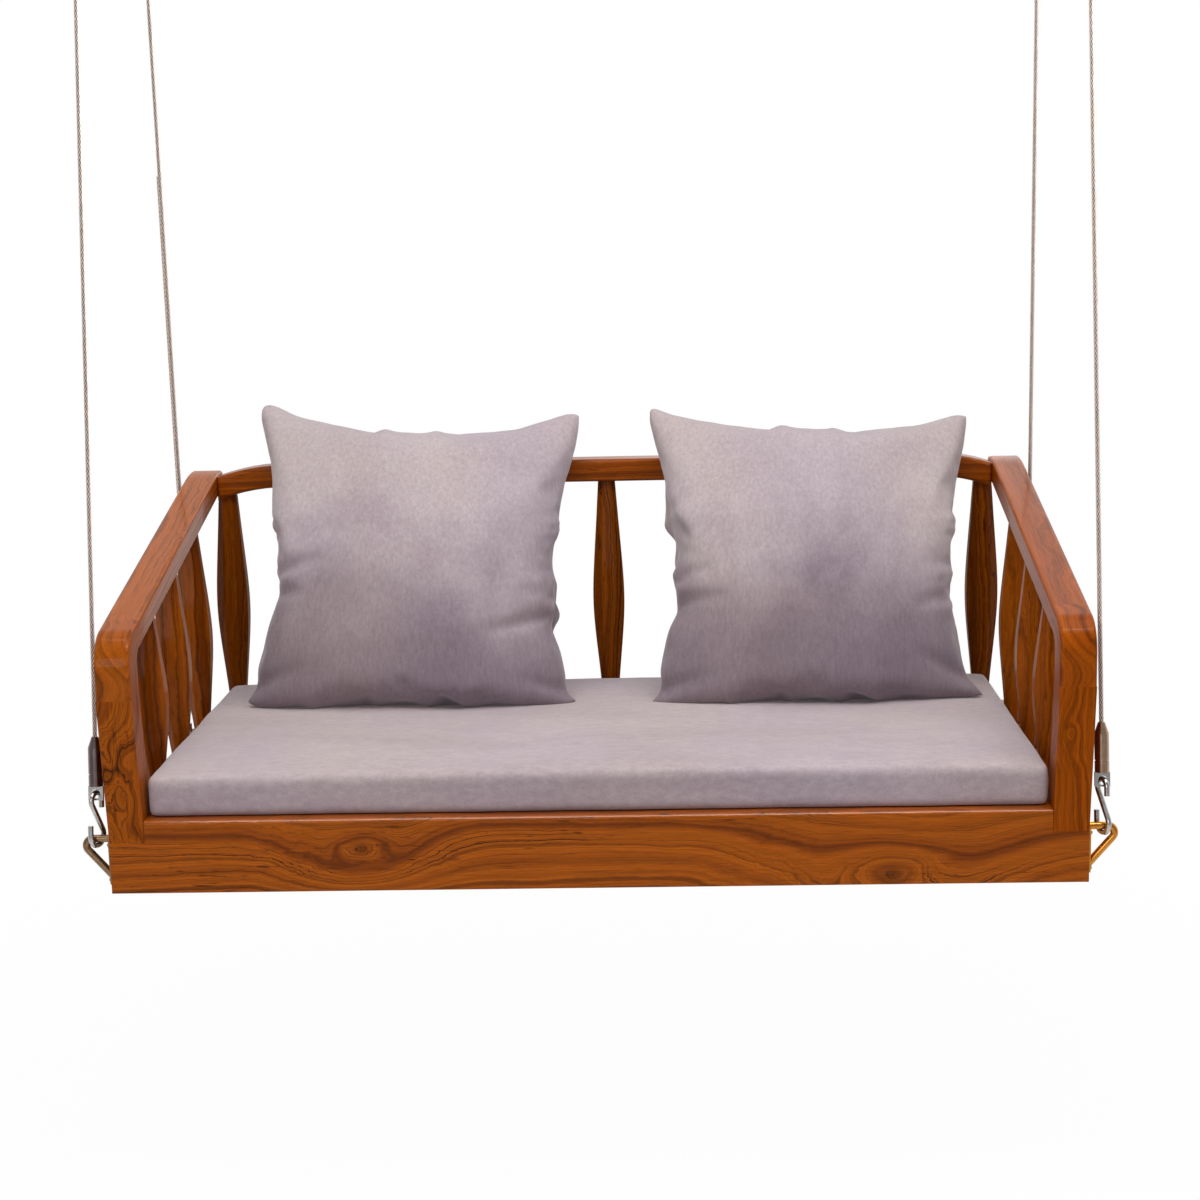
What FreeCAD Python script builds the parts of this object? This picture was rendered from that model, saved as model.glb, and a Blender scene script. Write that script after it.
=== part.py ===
import FreeCAD, Part
import math
import os
import Sketcher

# A hanging daybed swing: a teak frame with turned-in arms and faceted spindles,
# a seat cushion, two scatter pillows and four wire ropes on swaged terminals.
# Millimetres. X to the sitter's left and right, front of the seat towards -Y, +Z up.
# The origin is in the ceiling plane, midway between the four ceiling plates.

os.makedirs("parts", exist_ok=True)
doc = FreeCAD.newDocument("swing")
sheet = doc.addObject("Spreadsheet::Sheet", "dims")

# Driving dimensions, in millimetres
SIZES = {
    # seat frame
    "width": 1220, "depth": 610, "rail_high": 94, "rail_thick": 45, "drop": 1250,
    "top_round": 5, "foot_round": 3, "end_round": 2,
    # posts, bends and arms
    "post_foot": 66, "post_side": 45, "post_joint": 248, "arm_spread": 6,
    "arm_front_high": 324, "arm_rise": 133, "arm_thick": 34, "arm_level_run": 60, "arm_bow": 200,
    "bend_outer": 46, "bend_inner": 16, "bend_leg": 54, "arm_round": 5,
    # back rail
    "back_high": 474.5, "back_thick": 33, "back_bow_start": 470, "back_bow_drop": 16,
    # spindles
    "spindle_wide": 46, "back_spindle_reach": 559.5, "spindle_embed": 14,
    # seat base
    "board_thick": 12, "board_gap": 0.5, "ledger_side": 25, "bearer_wide": 60,
    # seat cushion
    "cushion_gap": 2.5, "cushion_set_back": 14, "cushion_edge_high": 50, "cushion_crown": 9,
    "cushion_bulge": 6, "cushion_draw_in": 5, "soft_gap": 0.3,
    # pillows
    "pillow_side": 458, "pillow_high": 446, "pillow_deep": 160, "pillow_hem": 6,
    "pillow_left_place": -262, "pillow_right_place": 303, "pillow_tilt_run": 178,
    # wire rope and the fittings at both of its ends
    "rope_side_off": 20, "rope_front_off": 21, "rope_top_in": 17, "rope_top_near": 105,
    "rope_wide": 6, "tail_end_high": 896, "tail_gap": 0.1,
    "hook_rod": 7, "hook_low_turn": 12.7, "hook_top_turn": 10, "hook_span": 44.4,
    "hook_low_tip": 14, "hook_top_tip": 10, "link_gap": 0.3,
    "rear_link_gap": 1, "rear_hook_back": 1.1,
    "eye_wide": 18.6, "eye_thick": 6, "eye_foot": 4.6, "eye_hole_wide": 11.4,
    "eye_hole_high": 9, "eye_high": 18,
    "barrel_wide": 18, "barrel_long": 48.4, "cone_long": 14, "cone_tip_wide": 8.5,
    "groove_up": 14, "groove_high": 1.6, "groove_deep": 0.9, "socket_floor": 9,
    "top_eye_wide": 22, "top_eye_thick": 10, "top_neck_long": 12, "top_barrel_long": 42,
    # brackets on the frame
    "plate_wide": 30, "plate_high": 55, "plate_thick": 3, "plate_low": 11,
    "ring_rod": 9.6, "ring_top": 67, "ring_foot": 15, "ring_nose": 45, "ring_nose_turn": 9,
    # wood screws
    "screw_head": 7, "screw_crown": 3.5, "screw_head_high": 2.2, "screw_shank": 3.6, "screw_long": 20,
    "screw_edge": 5, "ledger_screw_long": 45,
    # ceiling mounts
    "ceiling_plate": 70, "ceiling_plate_thick": 5, "ceiling_hole": 6.6, "ceiling_pitch": 50,
    "staple_rod": 8, "staple_drop": 27, "staple_half": 15, "staple_turn": 7,
    # how far a cut runs past the solid
    "overrun": 1,
}
for row, (alias, size) in enumerate(SIZES.items(), start=1):
    sheet.set(f"A{row}", alias)
    sheet.set(f"B{row}", str(size))
    sheet.setAlias(f"B{row}", alias)
doc.recompute()

D = dict(SIZES)
SEAT_LOW = "-dims.drop"
# How far the hooks are turned from the swing's side plane, in degrees
HOOK_TURN = 23
# A direction whose part along an axis is more than this runs along that axis
ALONG = 0.9
SIDES = (("left", -1), ("right", 1))
ENDS = (("front", -1), ("rear", 1))
PARTS = []


def vec(x, y, z):
    return FreeCAD.Vector(x, y, z)


def bind(obj, **sizes):
    for key, text in sizes.items():
        obj.setExpression(key, text)
    return obj


def place(obj, x="0", y="0", z="0"):
    obj.setExpression("Placement.Base.x", x)
    obj.setExpression("Placement.Base.y", y)
    obj.setExpression("Placement.Base.z", z)
    return obj


def keep(obj, label):
    obj.Label = label
    PARTS.append(obj)
    return obj


def box(name, centre, size):
    # A box centred in X and Y, whose foot is at the third value of centre.
    obj = doc.addObject("Part::Box", name)
    bind(obj, Length=size[0], Width=size[1], Height=size[2])
    place(obj, f"({centre[0]}) - ({size[0]}) / 2", f"({centre[1]}) - ({size[1]}) / 2", centre[2])
    return obj


def cylinder(name, radius, height):
    obj = doc.addObject("Part::Cylinder", name)
    return bind(obj, Radius=radius, Height=height)


def cone(name, low, high, height):
    obj = doc.addObject("Part::Cone", name)
    return bind(obj, Radius1=low, Radius2=high, Height=height)


def cut(name, base, tool):
    obj = doc.addObject("Part::Cut", name)
    obj.Base = base
    obj.Tool = tool
    return obj


def fuse(name, solids):
    obj = doc.addObject("Part::MultiFuse", name)
    obj.Shapes = solids
    return obj


def group(name, solids):
    obj = doc.addObject("Part::Compound", name)
    obj.Links = solids
    return obj


def profile_sketch(body, name, plane, corners):
    # A closed polygon: each corner is a pair of expressions from the body's origin.
    sketch = body.newObject("Sketcher::SketchObject", name)
    for feature in body.Origin.OriginFeatures:
        if feature.Role == plane:
            sketch.AttachmentSupport = [(feature, "")]
    sketch.MapMode = "FlatFace"
    values = [(measure(across), measure(up)) for across, up in corners]
    lines = []
    for index, (across, up) in enumerate(values):
        end = values[(index + 1) % len(values)]
        line = Part.LineSegment(vec(across, up, 0), vec(end[0], end[1], 0))
        lines.append(sketch.addGeometry(line, False))
    count = len(lines)
    for index in range(count):
        joint = Sketcher.Constraint("Coincident", lines[index], 2, lines[(index + 1) % count], 1)
        sketch.addConstraint(joint)
    for index, (across, up) in enumerate(corners):
        for kind, text, size in (("DistanceX", across, 0), ("DistanceY", up, 1)):
            value = values[index][size]
            number = sketch.addConstraint(
                Sketcher.Constraint(kind, -1, 1, lines[index], 1, value))
            sketch.setExpression(f"Constraints[{number}]", text)
    return sketch


def measure(text):
    # The value of an expression over the driving dimensions.
    words = text.replace("dims.", "")
    for alias in sorted(D, key=len, reverse=True):
        words = words.replace(alias, f"({D[alias]})")
    total = FreeCAD.Units.Quantity(words)
    return total.Value


def padded(name, plane, corners, length, x="0", y="0", z="0"):
    body = doc.addObject("PartDesign::Body", name)
    sketch = profile_sketch(body, name + "_profile", plane, corners)
    pad = body.newObject("PartDesign::Pad", name + "_pad")
    pad.Profile = sketch
    bind(pad, Length=length)
    place(body, x, y, z)
    doc.recompute()
    return body, pad


def rounded(body, pad, rule, radius):
    # Rounds the edges of the pad for which rule(midpoint, direction) holds.
    names = []
    for index, edge in enumerate(pad.Shape.Edges, start=1):
        way = edge.tangentAt(edge.FirstParameter)
        if rule(edge.BoundBox.Center, way):
            names.append(f"Edge{index}")
    fillet = body.newObject("PartDesign::Fillet", body.Name + f"_round_{len(body.Group)}")
    fillet.Base = (pad, names)
    bind(fillet, Radius=radius)
    body.Tip = fillet
    doc.recompute()
    return fillet


# Front seat rail: the posts stand in a notch at each of its ends
def front_rail():
    wide, high, foot, side = "dims.width", "dims.rail_high", "dims.post_foot", "dims.post_side"
    corners = [("0", "0"), (wide, "0"), (wide, foot), (f"{wide} - {side}", foot),
               (f"{wide} - {side}", high), (side, high), (side, foot), ("0", foot)]
    body, pad = padded("front_rail_body", "XZ_Plane", corners, "dims.rail_thick",
                       "-dims.width / 2", "-dims.depth / 2 + dims.rail_thick", SEAT_LOW)
    top = D["rail_high"]
    near = D["end_round"]
    edge = rounded(body, pad, lambda mid, way: abs(way.x) > ALONG and abs(mid.z - top) < near,
                   "dims.top_round")
    rounded(body, edge, lambda mid, way: abs(way.x) > ALONG and mid.z < near, "dims.foot_round")
    return body


# Rear seat rail: the same stock with plain ends
def rear_rail():
    wide, high = "dims.width", "dims.rail_high"
    corners = [("0", "0"), (wide, "0"), (wide, high), ("0", high)]
    body, pad = padded("rear_rail_body", "XZ_Plane", corners, "dims.rail_thick",
                       "-dims.width / 2", "dims.depth / 2", SEAT_LOW)
    rounded(body, pad, lambda mid, way: abs(way.x) > ALONG, "dims.foot_round")
    return body


# Side seat rails, butted between the front and rear rails
def side_rail(side, sign):
    long = "dims.depth - 2 * dims.rail_thick"
    corners = [("0", "0"), (long, "0"), (long, "dims.rail_high"), ("0", "dims.rail_high")]
    low = "dims.width / 2 - dims.rail_thick" if sign > 0 else "-dims.width / 2"
    body, pad = padded(f"side_rail_{side}", "YZ_Plane", corners, "dims.rail_thick",
                       low, "-dims.depth / 2 + dims.rail_thick", SEAT_LOW)
    rounded(body, pad, lambda mid, way: abs(way.y) > ALONG, "dims.end_round")
    return keep(body, f"side_rail_{side}")


# Posts: they lean out a little, from the notch in the front rail up to the bend
def post(side, sign):
    tall = "dims.post_joint - dims.post_foot"
    lean, wide = "dims.arm_spread", "dims.post_side"
    if sign > 0:
        corners = [("0", "0"), (wide, "0"), (f"{wide} + {lean}", tall), (lean, tall)]
        low = "dims.width / 2 - dims.post_side"
    else:
        corners = [(lean, "0"), (f"{wide} + {lean}", "0"), (wide, tall), ("0", tall)]
        low = "-dims.width / 2 - dims.arm_spread"
    body, pad = padded(f"post_{side}", "XZ_Plane", corners, "dims.post_side", low,
                       "-dims.depth / 2 + dims.post_side", f"{SEAT_LOW} + dims.post_foot")
    rounded(body, pad, lambda mid, way: abs(way.z) > ALONG, "dims.end_round")
    return keep(body, f"post_{side}")


# The arm's side outline, from the bend to the level stretch at the back
def arm_slope():
    return D["arm_rise"] / (D["depth"] - D["arm_level_run"])


def arm_top(depth_in):
    # Height of the arm's sloping top face at a distance back from the front.
    return D["arm_front_high"] + arm_slope() * depth_in


def slope_frame():
    angle = math.atan(arm_slope())
    along = vec(0, math.cos(angle), math.sin(angle))
    square = vec(0, -math.sin(angle), math.cos(angle))
    return along, square


def extruded_outline(name, outline, low_x):
    # An outline in the YZ plane, measured from the seat frame's front foot.
    shift = vec(low_x, -D["depth"] / 2, -D["drop"])
    wire = Part.Wire(outline)
    wire.translate(shift)
    solid = Part.Face(wire).extrude(vec(D["post_side"], 0, 0))
    obj = doc.addObject("Part::Feature", name)
    obj.Shape = solid
    return obj


def outer_low(sign):
    outer = D["width"] / 2 + D["arm_spread"]
    return outer - D["post_side"] if sign > 0 else -outer


def tangent_arc(corner, back, ahead, radius):
    # The arc that rounds a corner between two unit directions, as start, middle, end.
    turn = math.acos(max(-1, min(1, -(back * ahead))))
    reach = radius * math.tan(turn / 2)
    start = corner + back * reach
    end = corner + ahead * reach
    half = (back + ahead).normalize()
    centre = corner + half * (radius / math.cos(turn / 2))
    middle = centre - half * radius
    return start, middle, end


def bend(side, sign):
    along, square = slope_frame()
    up = vec(0, 0, 1)
    outer_corner = vec(0, 0, arm_top(0))
    inner_high = arm_top(D["post_side"]) - D["arm_thick"] / along.y
    inner_corner = vec(0, D["post_side"], inner_high)
    out_start, out_mid, out_end = tangent_arc(outer_corner, -up, along, D["bend_outer"])
    in_start, in_mid, in_end = tangent_arc(inner_corner, -up, along, D["bend_inner"])
    foot_out = vec(0, 0, D["post_joint"])
    foot_in = vec(0, D["post_side"], D["post_joint"])
    joint_in = inner_corner + along * (D["bend_leg"] / 2)
    joint_out = joint_in + square * D["arm_thick"]
    outline = [
        Part.LineSegment(foot_out, out_start).toShape(),
        Part.Arc(out_start, out_mid, out_end).toShape(),
        Part.LineSegment(out_end, joint_out).toShape(),
        Part.LineSegment(joint_out, joint_in).toShape(),
        Part.LineSegment(joint_in, in_end).toShape(),
        Part.Arc(in_end, in_mid, in_start).toShape(),
        Part.LineSegment(in_start, foot_in).toShape(),
        Part.LineSegment(foot_in, foot_out).toShape(),
    ]
    raw = extruded_outline(f"bend_{side}_block", outline, outer_low(sign))
    return joint_in, joint_out, raw


def arm_outline(joint_in, joint_out):
    along, square = slope_frame()
    level = vec(0, 1, 0)
    corner_in = D["depth"] - D["arm_level_run"] / 2
    top_corner = vec(0, corner_in, arm_top(corner_in))
    bisector = (square + vec(0, 0, 1)).normalize()
    low_corner = top_corner - bisector * (D["arm_thick"] / (bisector * square))
    top_start, top_mid, top_end = tangent_arc(top_corner, -along, level, D["arm_bow"])
    low_start, low_mid, low_end = tangent_arc(low_corner, -along, level, D["arm_bow"] - D["arm_thick"])
    top_far = vec(0, D["depth"], top_end.z)
    low_far = vec(0, D["depth"], low_end.z)
    return [
        Part.LineSegment(joint_in, joint_out).toShape(),
        Part.LineSegment(joint_out, top_start).toShape(),
        Part.Arc(top_start, top_mid, top_end).toShape(),
        Part.LineSegment(top_end, top_far).toShape(),
        Part.LineSegment(top_far, low_far).toShape(),
        Part.LineSegment(low_far, low_end).toShape(),
        Part.Arc(low_end, low_mid, low_start).toShape(),
        Part.LineSegment(low_start, joint_in).toShape(),
    ]


def soft_edges(obj, label, rule, radius):
    # Rounds long edges of a plain block whose shape is already in place.
    edges = [edge for edge in obj.Shape.Edges if rule(edge)]
    finished = doc.addObject("Part::Feature", label)
    finished.Shape = obj.Shape.makeFillet(radius, edges)
    return keep(finished, label)


def runs_in_yz(edge):
    box_of = edge.BoundBox
    return box_of.XLength < D["overrun"] and edge.Length > D["bend_inner"]


def joint_edge(edge, joint_in, joint_out):
    # The edges of the end face where the bend meets the arm or the post stay sharp.
    mid = edge.CenterOfMass + vec(0, D["depth"] / 2, D["drop"])
    middle = (joint_in + joint_out) / 2
    return abs(mid.y - middle.y) < D["arm_round"] and abs(mid.z - middle.z) < D["arm_round"]


def arms():
    for side, sign in SIDES:
        joint_in, joint_out, raw = bend(side, sign)
        foot = D["post_joint"] - D["drop"]
        soft_edges(raw, f"arm_bend_{side}",
                   lambda edge: runs_in_yz(edge) and not joint_edge(edge, joint_in, joint_out)
                   and abs(edge.CenterOfMass.z - foot) > D["end_round"], D["arm_round"])
        outline = arm_outline(joint_in, joint_out)
        block = extruded_outline(f"arm_{side}_block", outline, outer_low(sign))
        rear = D["depth"] / 2
        soft_edges(block, f"arm_{side}",
                   lambda edge: runs_in_yz(edge) and not joint_edge(edge, joint_in, joint_out)
                   and abs(edge.CenterOfMass.y - rear) > D["end_round"]
                   or edge.BoundBox.YLength < D["end_round"] and edge.BoundBox.ZLength < D["end_round"]
                   and abs(edge.CenterOfMass.y - rear) < D["end_round"], D["arm_round"])


# Back rail: straight over most of its length, bowed down to the arms at each end
def back_rail():
    half = D["width"] / 2 + D["arm_spread"] - D["post_side"]
    start = D["back_bow_start"]
    run = half - start
    drop = D["back_bow_drop"]
    radius = (run * run + drop * drop) / (2 * drop)
    angle = math.asin(run / radius)
    points = {}
    for name, high, size in (("top", D["back_high"], radius),
                             ("low", D["back_high"] - D["back_thick"], radius - D["back_thick"])):
        for sign in (-1, 1):
            # Both arcs end in the plane of the arm's inner face.
            lift = size - math.sqrt(size * size - run * run)
            half_run = run / 2
            half_lift = size - math.sqrt(size * size - half_run * half_run)
            points[name, sign] = (vec(sign * start, 0, high),
                                  vec(sign * (start + half_run), 0, high - half_lift),
                                  vec(sign * half, 0, high - lift))
    edges = []
    edges.append(Part.LineSegment(points["top", -1][0], points["top", 1][0]).toShape())
    edges.append(Part.Arc(*points["top", 1]).toShape())
    edges.append(Part.LineSegment(points["top", 1][2], points["low", 1][2]).toShape())
    edges.append(Part.Arc(*reversed(points["low", 1])).toShape())
    edges.append(Part.LineSegment(points["low", 1][0], points["low", -1][0]).toShape())
    edges.append(Part.Arc(*points["low", -1]).toShape())
    edges.append(Part.LineSegment(points["low", -1][2], points["top", -1][2]).toShape())
    edges.append(Part.Arc(*reversed(points["top", -1])).toShape())
    wire = Part.Wire(edges)
    wire.translate(vec(0, D["depth"] / 2 - D["rail_thick"], -D["drop"]))
    solid = Part.Face(wire).extrude(vec(0, D["rail_thick"], 0))
    block = doc.addObject("Part::Feature", "back_rail_block")
    block.Shape = solid
    return soft_edges(block, "back_rail",
                      lambda edge: edge.BoundBox.YLength < D["overrun"]
                      and edge.Length > D["back_thick"] + D["overrun"], D["arm_round"])


# Spindles: eight soft facets, thin at both ends and widest below the middle
SPINDLE_HEIGHT_SHARES = (0, 0.16, 0.33, 0.46, 0.60, 0.77, 1)
SPINDLE_WIDTH_SHARES = (0.44, 0.64, 0.89, 1, 0.93, 0.74, 0.49)
FACETS = 8
FACET_TURN = 360 / FACETS / 2


def spindle_loft(name, high):
    sections = []
    flats = math.cos(math.radians(FACET_TURN))
    for index, up_share in enumerate(SPINDLE_HEIGHT_SHARES):
        ring = doc.addObject("Part::RegularPolygon", f"{name}_ring_{index}")
        ring.Polygon = FACETS
        wide_share = SPINDLE_WIDTH_SHARES[index]
        bind(ring, Circumradius=f"dims.spindle_wide * {wide_share} / 2 / {flats}")
        ring.Placement.Rotation = FreeCAD.Rotation(vec(0, 0, 1), FACET_TURN)
        ring.setExpression("Placement.Base.z", f"({high}) * {up_share}")
        sections.append(ring)
    loft = doc.addObject("Part::Loft", name)
    loft.Sections = sections
    loft.Solid = True
    loft.Ruled = False
    return loft


def spindle(label, x, y, high, tool, lean=None):
    loft = spindle_loft(label + "_blank", f"{high} + dims.spindle_embed + dims.overrun")
    place(loft, x, y, f"{SEAT_LOW} + dims.rail_high - dims.overrun")
    if lean:
        loft.Placement.Rotation = FreeCAD.Rotation(vec(0, 1, 0), lean)
    return keep(cut(label, loft, tool), label)


BACK_SPINDLE_SHARES = (-1, -0.75, -0.5, -0.25, 0.01, 0.25, 0.5, 0.75, 1)
SIDE_SPINDLE_SHARES = (0.275, 0.511, 0.748)


def spindles(tools):
    back_y = "dims.depth / 2 - dims.rail_thick / 2"
    back_high = "dims.back_high - dims.back_thick - dims.rail_high"
    for index, share in enumerate(BACK_SPINDLE_SHARES, start=1):
        spindle(f"back_spindle_{index}", f"dims.back_spindle_reach * {share}", back_y,
                back_high, tools["back"])
    for side, sign in SIDES:
        for index, share in enumerate(SIDE_SPINDLE_SHARES, start=1):
            slope = "dims.arm_rise / (dims.depth - dims.arm_level_run)"
            high = (f"dims.arm_front_high + {slope} * dims.depth * {share} - dims.arm_thick"
                    " - dims.rail_high")
            y = f"-dims.depth / 2 + dims.depth * {share}"
            x = f"{sign} * (dims.width / 2 - dims.post_side / 2)"
            lean = sign * math.degrees(math.atan(D["arm_spread"] / D["arm_front_high"]))
            spindle(f"side_spindle_{side}_{index}", x, y, high, tools[side], lean)


# Seat base: ledgers on the long rails, a bearer across the middle, and the board
def seat_base():
    inner_y = "dims.depth / 2 - dims.rail_thick"
    inner_x = "dims.width / 2 - dims.rail_thick"
    ledge = f"{SEAT_LOW} + dims.rail_high - dims.board_thick"
    strips = []
    for end, sign in ENDS:
        centre = ("0", f"{sign} * ({inner_y} - dims.ledger_side / 2)", f"{ledge} - dims.ledger_side")
        strips.append(box(f"ledger_{end}", centre,
                          (f"2 * ({inner_x} - dims.board_gap)", "dims.ledger_side", "dims.ledger_side")))
    strips.append(box("ledger_bearer", ("0", "0", f"{ledge} - dims.ledger_side"),
                      ("dims.bearer_wide", f"2 * ({inner_y} - dims.ledger_side)", "dims.ledger_side")))
    bearers = group("seat_bearer_strips", strips)
    board = box("seat_board", ("0", "0", ledge),
                (f"2 * ({inner_x} - dims.board_gap)", f"2 * ({inner_y} - dims.board_gap)",
                 "dims.board_thick"))
    keep(board, "seat_board")
    return bearers


# Seat cushion: flat below, crowned above, its sides bulged and drawn in at the ends
CUSHION_LONG_SHARES = (-1, -0.97, -0.55, 0, 0.55, 0.97, 1)
CUSHION_CROWN_SHARES = (0, 0.35, 0.85, 1, 0.85, 0.35, 0)
CUSHION_EDGE_SHARES = (0.8, 0.98, 1, 1, 1, 0.98, 0.8)


def cushion_section(across, front, back, foot, edge_high, crown, bulge):
    low_front = vec(across, front + bulge, foot)
    low_back = vec(across, back - bulge, foot)
    top_front = vec(across, front + bulge, foot + edge_high)
    top_back = vec(across, back - bulge, foot + edge_high)
    side_mid = foot + edge_high / 2
    middle = (front + back) / 2
    edges = [Part.LineSegment(low_front, low_back).toShape(),
             Part.Arc(low_back, vec(across, back, side_mid), top_back).toShape(),
             Part.Arc(top_back, vec(across, middle, foot + edge_high + crown), top_front).toShape(),
             Part.Arc(top_front, vec(across, front, side_mid), low_front).toShape()]
    return Part.Wire(edges)


def seat_cushion():
    half = D["width"] / 2 - D["rail_thick"] - D["cushion_gap"]
    front = -D["depth"] / 2 + D["cushion_set_back"]
    back = D["depth"] / 2 - D["rail_thick"] / 2 - D["spindle_wide"] / 2 - D["cushion_gap"]
    foot = -D["drop"] + D["rail_high"] + D["soft_gap"]
    sections = []
    for index, share in enumerate(CUSHION_LONG_SHARES):
        draw = D["cushion_draw_in"] * (1 - CUSHION_EDGE_SHARES[index]) / (1 - CUSHION_EDGE_SHARES[0])
        crown = D["cushion_crown"] * CUSHION_CROWN_SHARES[index] + D["soft_gap"]
        sections.append(cushion_section(half * share, front + draw, back - draw, foot,
                                        D["cushion_edge_high"] * CUSHION_EDGE_SHARES[index],
                                        crown, D["cushion_bulge"]))
    obj = doc.addObject("Part::Feature", "seat_cushion")
    obj.Shape = Part.makeLoft(sections, True, True)
    return keep(obj, "seat_cushion")


# Pillows: what two lofts have in common. One stacks level sections, drawn in between
# the ears, and the other sets upright slices side by side, with a dip in the top seam.
PILLOW_UP_SHARES = (-1, -0.93, -0.75, -0.45, -0.1, 0.25, 0.6, 0.85, 1)
PILLOW_WIDE_SHARES = (1, 0.97, 0.97, 0.90, 0.85, 0.87, 0.91, 0.97, 1)
PILLOW_LEVEL_DEEP_SHARES = (0.78, 0.84, 0.93, 1, 1, 0.96, 0.88, 0.78, 0.70)
PILLOW_ACROSS_SHARES = (-1, -0.93, -0.8, -0.5, 0, 0.5, 0.8, 0.93, 1)
PILLOW_FOOT_SHARES = (1, 1.01, 1, 0.985, 0.975, 0.985, 1, 1.01, 1)
PILLOW_TOP_SHARES = (1, 0.95, 0.87, 0.81, 0.80, 0.81, 0.86, 0.93, 1)
PILLOW_SLICE_DEEP_SHARES = (0.45, 0.62, 0.84, 0.98, 1, 0.98, 0.84, 0.62, 0.45)
# A section's points from one seam to the other: share of its half width, share of its depth
PILLOW_BULGE_SHARES = ((-1, 0), (-0.95, 0.35), (-0.80, 0.69), (0, 1), (0.80, 0.69), (0.95, 0.35), (1, 0))
# How many times a pillow drops and slides by its gaps before it rests
SETTLE_STEPS = 4


def bulged(half, deep, spot):
    # A closed section, three arcs to a side; spot(across, depth) is a point of it.
    points = []
    for sign in (-1, 1):
        for share, deep_share in PILLOW_BULGE_SHARES:
            points.append(spot(-sign * half * share, sign * deep * deep_share))
    sides = len(PILLOW_BULGE_SHARES)
    starts = list(range(0, sides - 1, 2)) + list(range(sides, 2 * sides - 1, 2))
    return Part.Wire([Part.Arc(*points[start:start + 3]).toShape() for start in starts])


def pillow_shape():
    wide, high, deep = D["pillow_side"] / 2, D["pillow_high"] / 2, D["pillow_deep"] / 2
    levels = []
    for index, up_share in enumerate(PILLOW_UP_SHARES):
        up = (high + 2 * D["pillow_hem"]) * up_share
        levels.append(bulged(wide * PILLOW_WIDE_SHARES[index], deep * PILLOW_LEVEL_DEEP_SHARES[index],
                             lambda across, depth: vec(across, depth, up)))
    slices = []
    for index, across_share in enumerate(PILLOW_ACROSS_SHARES):
        place = (wide + D["pillow_hem"] / 2) * across_share
        foot = -high * PILLOW_FOOT_SHARES[index]
        top = high * PILLOW_TOP_SHARES[index]
        slices.append(bulged((top - foot) / 2, deep * PILLOW_SLICE_DEEP_SHARES[index],
                             lambda along, depth: vec(place, depth, (top + foot) / 2 + along)))
    return Part.makeLoft(levels, True, False).common(Part.makeLoft(slices, True, False)).Solids[0]


def pillow(label, x, cushion, back):
    solid = pillow_shape()
    tilt = math.degrees(math.asin(D["pillow_tilt_run"] / D["pillow_side"]))
    turn = FreeCAD.Rotation(vec(1, 0, 0), -tilt)
    # It starts above the cushion and settles down on it and back against the back rail.
    y, z = 0, D["pillow_side"] / 2 - D["drop"] + D["rail_high"] + D["cushion_edge_high"] + D["cushion_crown"]
    for step in range(SETTLE_STEPS):
        solid.Placement = FreeCAD.Placement(vec(x, y, z), turn)
        z -= solid.distToShape(cushion.Shape)[0] - D["soft_gap"]
        solid.Placement = FreeCAD.Placement(vec(x, y, z), turn)
        y += solid.distToShape(back.Shape)[0] - D["soft_gap"]
    obj = doc.addObject("Part::Feature", label)
    obj.Shape = solid
    obj.Placement = FreeCAD.Placement(vec(x, y, z), turn)
    print(label, "rests at", round(x, 1), round(y, 1), round(z, 1))
    keep(obj, label)


# Where each rope starts and ends: the bracket's bar below and the staple's bar above
def low_point(sign_x, sign_y):
    return vec(sign_x * (D["width"] / 2 + D["rope_side_off"]),
               sign_y * (D["depth"] / 2 - D["rope_front_off"]), -D["drop"] + D["ring_top"])


def high_point(sign_x, sign_y):
    low = low_point(sign_x, sign_y)
    return vec(sign_x * (abs(low.x) - D["rope_top_in"]),
               sign_y * (abs(low.y) - D["rope_top_near"]), -D["staple_drop"])


def hook_rest(sign_y):
    # How far a hook's lower centre stands above its bar. The rear hooks are the open
    # pivots of the linkage: their bars have more room and lie a little to the front.
    gap = D["rear_link_gap"] if sign_y > 0 else D["link_gap"]
    return D["hook_low_turn"] - D["hook_rod"] / 2 - D["ring_rod"] / 2 - gap


def rope_foot(sign_x, sign_y):
    back = D["rear_hook_back"] if sign_y > 0 else 0
    return low_point(sign_x, sign_y) + vec(0, back, 0)


def hang(sign_x, sign_y):
    # The placement of a rope's fittings: origin at the hook's lower centre, Z up the rope.
    low = rope_foot(sign_x, sign_y)
    way = (high_point(sign_x, sign_y) - low).normalize()
    turn = FreeCAD.Rotation(vec(0, 0, 1), way)
    return FreeCAD.Placement(low + way * hook_rest(sign_y), turn)


def rope_span(sign_x, sign_y):
    low = rope_foot(sign_x, sign_y)
    high = high_point(sign_x, sign_y)
    return (high - low).Length - hook_rest(sign_y)


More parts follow.
